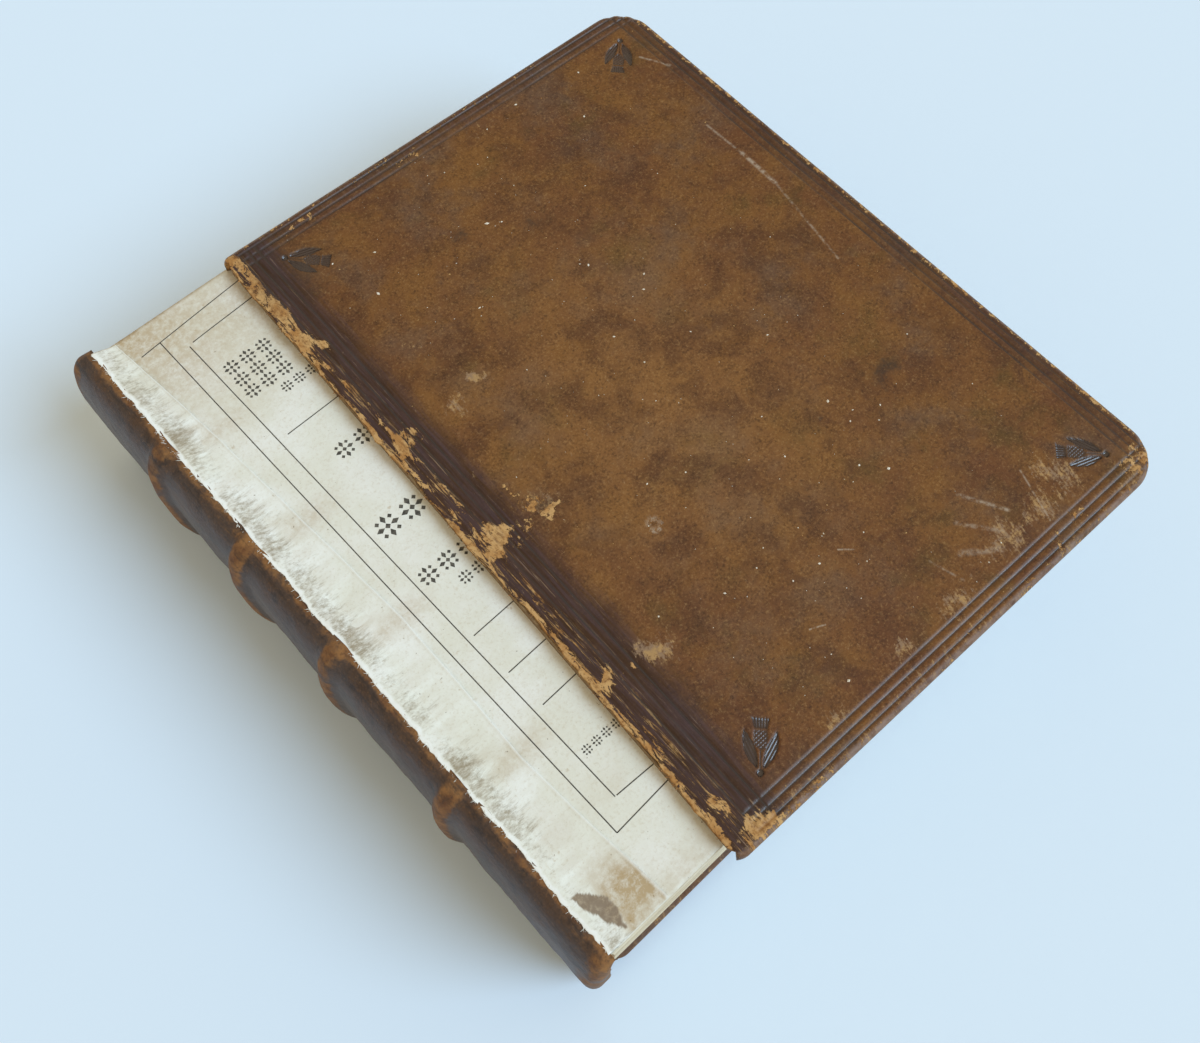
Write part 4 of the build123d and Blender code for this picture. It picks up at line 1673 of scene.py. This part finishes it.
@dataclass
class EndpaperStub:
    """Torn stub of the endpaper along the gutter, wrinkled, dirty and white at its torn edge, with a painted
    highlight along its raised right edge.
    """

    overhang: float = 0.45
    lift: float = 0.75
    wrinkle: float = 1.1
    fold: float = 0.22
    bulge: float = 0.5
    curl: float = 0.4
    slope: float = 5.5
    thickness: float = 0.25
    row_step: float = 0.4
    columns: int = 52
    tail_inset: float = 0.2
    head_inset: float = 0.3
    seed: int = 7
    fibres: int = 420
    bare_y: tuple[float, ...] = (-97.0, -94.4, -91.6, -88.8, -86.8, -84.8)
    bare_left: tuple[float, ...] = (-69.0, -70.6, -71.6, -72.4, -73.0, -73.6)
    bare_right: tuple[float, ...] = (-68.2, -67.4, -67.0, -67.8, -69.4, -71.8)
    right_edge: tuple[Pair, ...] = (
        (-98.6, -57.9), (-55.5, -61.2), (-12.5, -60.4), (26.8, -63.0), (61.7, -65.6), (95.4, -68.9))

    def left(self, y: np.ndarray) -> np.ndarray:
        """Pair of the torn edge at each place along the spine."""
        jag = 1.2 * sway(y, y * 0, 8, 72) + 0.6 * sway(y, y * 0, 1.3, 77)
        return CREST_X - self.overhang + jag

    def height(self, x: np.ndarray, y: np.ndarray) -> np.ndarray:
        """Height of the upper face over the block's flat top.

        Args:
            x: Places across the gutter.
            y: Places along the spine.

        Returns:
            One height for each place.
        """
        depth = x - CREST_X
        shoulder = SHOULDER_RISE * fall(depth, 0.0, self.slope)
        wrinkle = sway(y, depth * 0.12, 4.6, 73) * rise(depth, 0.5, 3) * fall(depth, 5, 13)
        for band in BANDS:
            fold = np.sin((y - band) * 1.1 + 0.25 * depth) * np.exp(-(((y - band) / 7) ** 2))
            wrinkle = wrinkle + self.fold * fold * rise(depth, 1.5, 4) * fall(depth, 6, 12)
        curl = fall(depth, -0.2, 1.2) * (0.1 + 0.9 * cloud(y, depth, 2.4, 75))
        body = self.lift + shoulder + self.wrinkle * wrinkle
        return body + self.bulge * sway(x, y, 9, 74) + self.curl * curl

    def build(self, paper: bpy.types.Material, strewer: Strewer) -> None:
        """Make the stub as a closed wrinkled sheet, with fibres along its torn edge.

        Args:
            paper: Finish of the paper.
            strewer: Sets the fibres.
        """
        low, high = node_box("text_block")
        top = high[2] - SHOULDER_RISE
        rows = np.arange(low[1] + self.tail_inset, high[1] - self.head_inset, self.row_step)
        share = np.linspace(0, 1, self.columns) ** 1.15
        places = np.array(self.right_edge)
        right = np.interp(rows, places[:, 0], places[:, 1]) + 0.7 * sway(rows, rows * 0, 18, 71)
        left = self.left(rows)
        s, y = np.meshgrid(share, rows)
        x = left[:, None] + s * (right - left)[:, None]
        depth = x - CREST_X
        z = top + self.height(x, y) + 0.22 * rise(s, 0.93, 1.0)
        ragged = x - left[:, None] - 1.1 * cloud(y, x, 1.8, 78)
        soiled = 1.15 * cloud(y, x * 0.3, 11, 76) - 0.05
        soiled = np.maximum(soiled, near_bands(y, 10) * (0.45 + 0.9 * cloud(x * 0.4, y, 6, 80)))
        dirt = rise(ragged, 0.0, 0.9) * fall(ragged, 1.5, 11.0) * soiled
        jitter = 1.6 * sway(x, y, 1.8, 81)
        low_side, high_side = (np.interp(y, self.bare_y, side) for side in (self.bare_left, self.bare_right))
        patch = rise(np.minimum(x - low_side, high_side - x) + jitter, 0.0, 0.25) * rise(ragged, 0.3, 0.6)
        patch = patch * rise(y, -97.2, -96.8) * fall(y, -85.2, -84.8)
        # White at the torn left edge is bared paper; the weaker white along the raised right edge is a
        # painted highlight.
        torn = np.maximum(fall(ragged, 0.0, 0.5), rise(s, 0.96, 0.985) * 0.55)
        stain = fall(y, -90, -78) * rise(depth, 4.5, 8) * (0.5 + 0.9 * cloud(x, y, 3.5, 79))
        stain = np.maximum(stain, 0.5 * near_bands(y, 3.5, 3) * rise(depth, 4, 9))
        points, faces = sheet_shell(x, y, z, self.thickness)
        values = {"dirt": dirt, "age": stain, "torn": torn * (1 - patch), "patch": patch}
        values = {key: np.tile(part.ravel(), 2) for key, part in values.items()}
        piece = make_piece("endpaper_torn_stub", points, faces, paper, values)
        seat(piece, BLOCK, "endpaper", "endpaper_stub")
        self.fray(top, low[1], high[1], strewer)

    def fray(self, top: float, tail: float, head: float, strewer: Strewer) -> None:
        """Set loose fibres along the torn edge.

        Args:
            top: Height of the block's flat top.
            tail: Tail end of the block.
            head: Head end of the block.
            strewer: Sets the fibres.
        """
        draw = np.random.default_rng(self.seed)
        y = draw.uniform(tail + 1, head - 1, self.fibres)
        x = self.left(y) + draw.uniform(0.0, 0.9, self.fibres)
        places = in_rows(x, y, top + self.height(x, y) - 0.05)
        turns = in_rows(y * 0, draw.uniform(-0.5, 0.1, self.fibres), draw.uniform(2.0, 4.3, self.fibres))
        sizes = np.tile([0.9, 0.035, 0.035], (self.fibres, 1))
        linen = PlainFinish("paper_fibre", srgb(240, 239, 233), srgb(214, 208, 190)).dress()
        piece = strewer.strew("torn_paper_fibres", Template.FIBRE, places, turns, sizes, linen, 3, 0.6)
        seat(piece, BLOCK, "endpaper")


@dataclass
class RearJoint:
    """Worn leather of the rear joint, which still holds the rear board."""

    path: tuple[Pair, ...] = (
        (-77.2, 2.9), (-76.2, 2.5), (-75.2, 2.1), (-74.4, 1.5), (-73.7, 0.95), (-73.0, 0.65),
        (-72.3, 0.5), (-71.6, 0.45), (-70.6, 0.45), (-69.6, 0.45))
    thickness: float = 0.5
    tail: float = -99.0
    head: float = 98.6
    row_count: int = 160
    bend_x: Pair = (-74.4, -71.6)
    bend_z: float = 0.5

    def build(self, material: bpy.types.Material) -> None:
        """Make the strip as a closed sheet across the joint between the two bodies.

        Args:
            material: Finish of the leather.
        """
        way = np.array(self.path)
        rows = np.linspace(self.tail, self.head, self.row_count)
        x, y = np.meshgrid(way[:, 0], rows)
        z = np.tile(way[:, 1], (len(rows), 1)) + self.thickness / 2
        points, faces = sheet_shell(x, y, z, self.thickness)
        rub = np.tile((0.35 + 0.4 * cloud(x * 3, y, 9, 91)).ravel(), 2)
        piece = make_piece("rear_joint_leather", points, faces, material, {"rub": rub})
        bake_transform(piece)
        LOG.info("%s: %d faces", piece.name, len(piece.data.polygons))


@dataclass
class Studio:
    """Pale floor, soft window light and the camera at the photograph's place."""

    eye: Vector = (-85.84, -105.37, 295.65)
    right: Vector = (0.73662, -0.67628, 0.00626)
    down: Vector = (-0.61678, -0.67554, -0.40403)
    look: Vector = (0.27746, 0.29375, -0.91473)
    lens: float = 34.02
    sensor: float = 36.0
    clip: Pair = (0.01, 20.0)
    floor_reach: float = 9.0
    floor_colour: Colour = (0.74, 0.85, 0.97)
    fill: float = 0.56
    fill_colour: Colour = (1.05, 0.92, 0.68)
    window: Vector = (0.62, -1.08, 1.12)
    window_angle: float = 34.0
    window_strength: float = 2.3
    window_colour: Colour = (0.62, 0.88, 1.15)

    def build(self) -> None:
        """Make the floor, the lights and the camera."""
        camera = bpy.data.cameras.new("camera")
        camera.lens, camera.sensor_width = self.lens, self.sensor
        camera.clip_start, camera.clip_end = self.clip
        viewer = show("camera", camera)
        axes = np.array([self.right, [-v for v in self.down], [-v for v in self.look]]).T
        matrix = np.eye(4)
        matrix[:3, :3], matrix[:3, 3] = axes, np.array(self.eye) * MM
        viewer.matrix_world = Matrix(matrix.tolist())
        bpy.context.scene.camera = viewer

        mesh = bpy.data.meshes.new("floor")
        reach = self.floor_reach
        corners = [(-reach, -reach, 0), (reach, -reach, 0), (reach, reach, 0), (-reach, reach, 0)]
        mesh.from_pydata(corners, [], [(0, 1, 2, 3)])
        ink = ShaderSketch("floor")
        mesh.materials.append(ink.set(Base_Color=self.floor_colour, Roughness=0.9, Specular_IOR_Level=0.0))
        floor = show("floor", mesh)

        world = bpy.data.worlds.new("room")
        world.use_nodes = True
        tree = world.node_tree
        sky = tree.nodes["Background"]
        sky.inputs["Color"].default_value = (*self.fill_colour, 1.0)
        sky.inputs["Strength"].default_value = self.fill
        seen = tree.nodes.new("ShaderNodeBackground")
        slant = self.window[2] / math.hypot(*self.window)
        level = self.window_strength * slant / math.pi
        lights = [self.fill * warm + level * cool for warm, cool in zip(self.fill_colour, self.window_colour)]
        far = [light * paint for light, paint in zip(lights, self.floor_colour)]
        seen.inputs["Color"].default_value = (*far, 1.0)
        ray = tree.nodes.new("ShaderNodeLightPath")
        either = tree.nodes.new("ShaderNodeMixShader")
        tree.links.new(ray.outputs["Is Camera Ray"], either.inputs[0])
        tree.links.new(sky.outputs[0], either.inputs[1])
        tree.links.new(seen.outputs[0], either.inputs[2])
        tree.links.new(either.outputs[0], tree.nodes["World Output"].inputs[0])
        bpy.context.scene.world = world
        self.lamp()
        bpy.context.scene.view_settings.view_transform = "Standard"

    def lamp(self) -> None:
        """Add the wide soft light, which comes from the window's side at the same strength everywhere."""
        light = bpy.data.lights.new("window", "SUN")
        light.angle, light.energy = math.radians(self.window_angle), self.window_strength
        light.color = self.window_colour
        stand = show("window", light)
        stand.location = self.window
        stand.rotation_euler = stand.location.to_track_quat("Z", "Y").to_euler()


# Middle, half sizes and strength of each mark on the front board.
FRONT_MARK_ROWS = {
    MarkKind.FLAKE: (
        (5.6, 163.0, 4.8, 4.8, 1.05), (6.4, 149.0, 1.0, 5.0, 0.6), (4.6, 156.0, 2.0, 6.0, 0.6),
        (5.2, 126.5, 5.4, 4.8, 1.1), (11.2, 127.0, 1.6, 3.4, 0.6), (4.4, 133.0, 1.5, 4.0, 0.7),
        (3.6, 112.0, 1.8, 7.0, 0.6), (6.6, 114.0, 0.9, 7.0, 0.62), (3.4, 100.0, 2.2, 5.0, 0.7),
        (5.4, 90.0, 5.4, 4.8, 1.15), (12.2, 88.5, 1.6, 2.8, 0.75), (3.6, 70.0, 1.6, 6.0, 0.5),
        (2.6, 57.0, 1.6, 3.4, 0.7), (3.6, 48.0, 3.4, 3.6, 1.0), (11.4, 45.5, 0.9, 3.0, 0.7),
        (3.0, 32.0, 1.6, 6.0, 0.5), (3.4, 12.1, 2.6, 4.2, 0.8), (8.0, 3.0, 5.0, 3.6, 1.1),
        (18.8, 92.0, 3.4, 4.4, 0.92), (21.6, 88.0, 3.6, 2.8, 0.85), (17.2, 96.6, 0.9, 2.6, 0.75),
        (14.4, 87.4, 1.4, 2.0, 0.7), (141.5, 2.5, 4.5, 4.5, 0.95), (139.4, 4.0, 6.0, 4.4, 0.9),
        (141.0, 197.0, 3.4, 3.4, 0.7), (116.0, 4.4, 3.4, 1.6, 0.65), (107.2, 3.4, 1.6, 1.2, 0.75),
        (26.0, 196.5, 5.0, 2.0, 0.7), (58.0, 195.5, 7.0, 2.4, 0.6),
    ),
    MarkKind.PALE: (
        (135.0, 2.6, 11.0, 2.8, 1.3), (20.4, 91.0, 5.0, 5.4, 1.0), (17.2, 45.9, 3.4, 3.0, 1.6),
        (22.3, 125.1, 3.6, 3.4, 1.3), (31.6, 127.6, 1.8, 1.8, 2.2), (22.6, 146.7, 1.6, 1.8, 0.8),
        (37.1, 9.2, 3.8, 3.0, 1.4), (58.9, 8.8, 5.0, 2.8, 1.2), (78.2, 9.6, 5.4, 3.4, 1.2),
        (98.0, 12.0, 7.0, 4.8, 1.15), (111.0, 12.0, 5.0, 5.0, 1.2), (120.5, 15.0, 5.4, 5.4, 1.2),
        (81.8, 189.6, 5.0, 2.0, 0.6), (52.0, 96.0, 26.0, 24.0, 0.22),
    ),
    MarkKind.STAIN: (
        (110.6, 62.0, 5.2, 3.2, 0.62), (106.6, 59.6, 3.6, 2.4, 0.5), (87.9, 63.3, 1.2, 1.2, 0.8),
        (55.3, 164.9, 3.0, 3.0, 0.55), (72.4, 154.4, 4.0, 3.0, 0.5), (21.4, 90.4, 2.1, 1.9, 0.5),
        (12.0, 184.0, 12.0, 14.0, 0.5),
    ),
}
FRONT_MARKS = tuple(Mark(kind, *row) for kind, rows in FRONT_MARK_ROWS.items() for row in rows)
FRONT_SCRATCHES = (
    Scratch((130.9, 149.6), (131.4, 136.0), 0.6, 0.5),
    Scratch((131.4, 136.0), (131.2, 122.8), 1.0, 0.75),
    Scratch((131.2, 122.8), (126.0, 94.0), 0.6, 0.45),
    Scratch((133.7, 180.7), (138.2, 172.8), 0.6, 0.6),
    Scratch((114.3, 21.6), (109.5, 8.3), 0.4, 0.6),
    Scratch((98.0, 27.0), (104.0, 16.5), 0.8, 0.7),
    Scratch((92.0, 22.5), (99.0, 13.5), 0.9, 0.5),
    Scratch((87.0, 16.5), (95.0, 11.0), 1.3, 0.45),
    Scratch((80.0, 20.0), (82.5, 11.5), 0.5, 0.4),
    Scratch((47.0, 26.5), (50.5, 25.0), 0.35, 0.85),
    Scratch((66.0, 36.0), (69.0, 33.5), 0.35, 0.8),
)
FRONT_BLISTERS = ((38.6, 70.0, 1.5),)


def main() -> None:
    """Build every piece of the book in order and dress it."""
    logging.basicConfig(level=logging.INFO, format="%(message)s")
    front_calf = CoverCalf("front_calf", FRONT_SCRATCHES, FRONT_BLISTERS).dress()
    rear_calf = CoverCalf("rear_calf").dress()
    paper = LaidPaper().dress()
    strewer = Strewer()
    board = Pasteboard().dress()
    thread = PlainFinish("hemp", srgb(170, 140, 98), srgb(120, 94, 62)).dress()
    endband = PlainFinish("endband_linen", srgb(168, 140, 104), srgb(110, 84, 58)).dress()

    front_top = node_box("front_leather")[1][2]
    front = CoverLeather("front_cover_calf", "front_leather", BLOCK, centre=(32.5, -5.7), face_z=front_top,
                         outward=1, turn=-1.45, lean=3.4, torn=1.0, marks=FRONT_MARKS, spine_wear=1.0)
    front.build(front_calf)
    front.dust(count=230, strewer=strewer)
    front.fray(count=260, strewer=strewer)
    rear = CoverLeather("rear_cover_calf", "rear_leather", REAR, centre=(0.0, 0.0), face_z=0.0, outward=-1)
    rear.build(rear_calf)
    spine_calf = SpineCalf().dress()
    Spine().build(spine_calf)
    RearJoint().build(spine_calf)
    TextBlock().build(LeafEdges().dress(), paper)
    TitleLeaf().build(paper, strewer)
    EndpaperStub().build(paper, strewer)
    Endbands().build(endband, strewer)
    dressed = {"front_board": board, "rear_board": board, "front_pastedown": paper, "rear_pastedown": paper}
    dressed |= {f"sewing_cord_{number}": thread for number in range(1, len(BANDS) + 1)}
    for node, material in dressed.items():
        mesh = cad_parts[node].data
        mesh.materials.clear()
        mesh.materials.append(material)
    Studio().build()


if __name__ == "__main__":
    main()
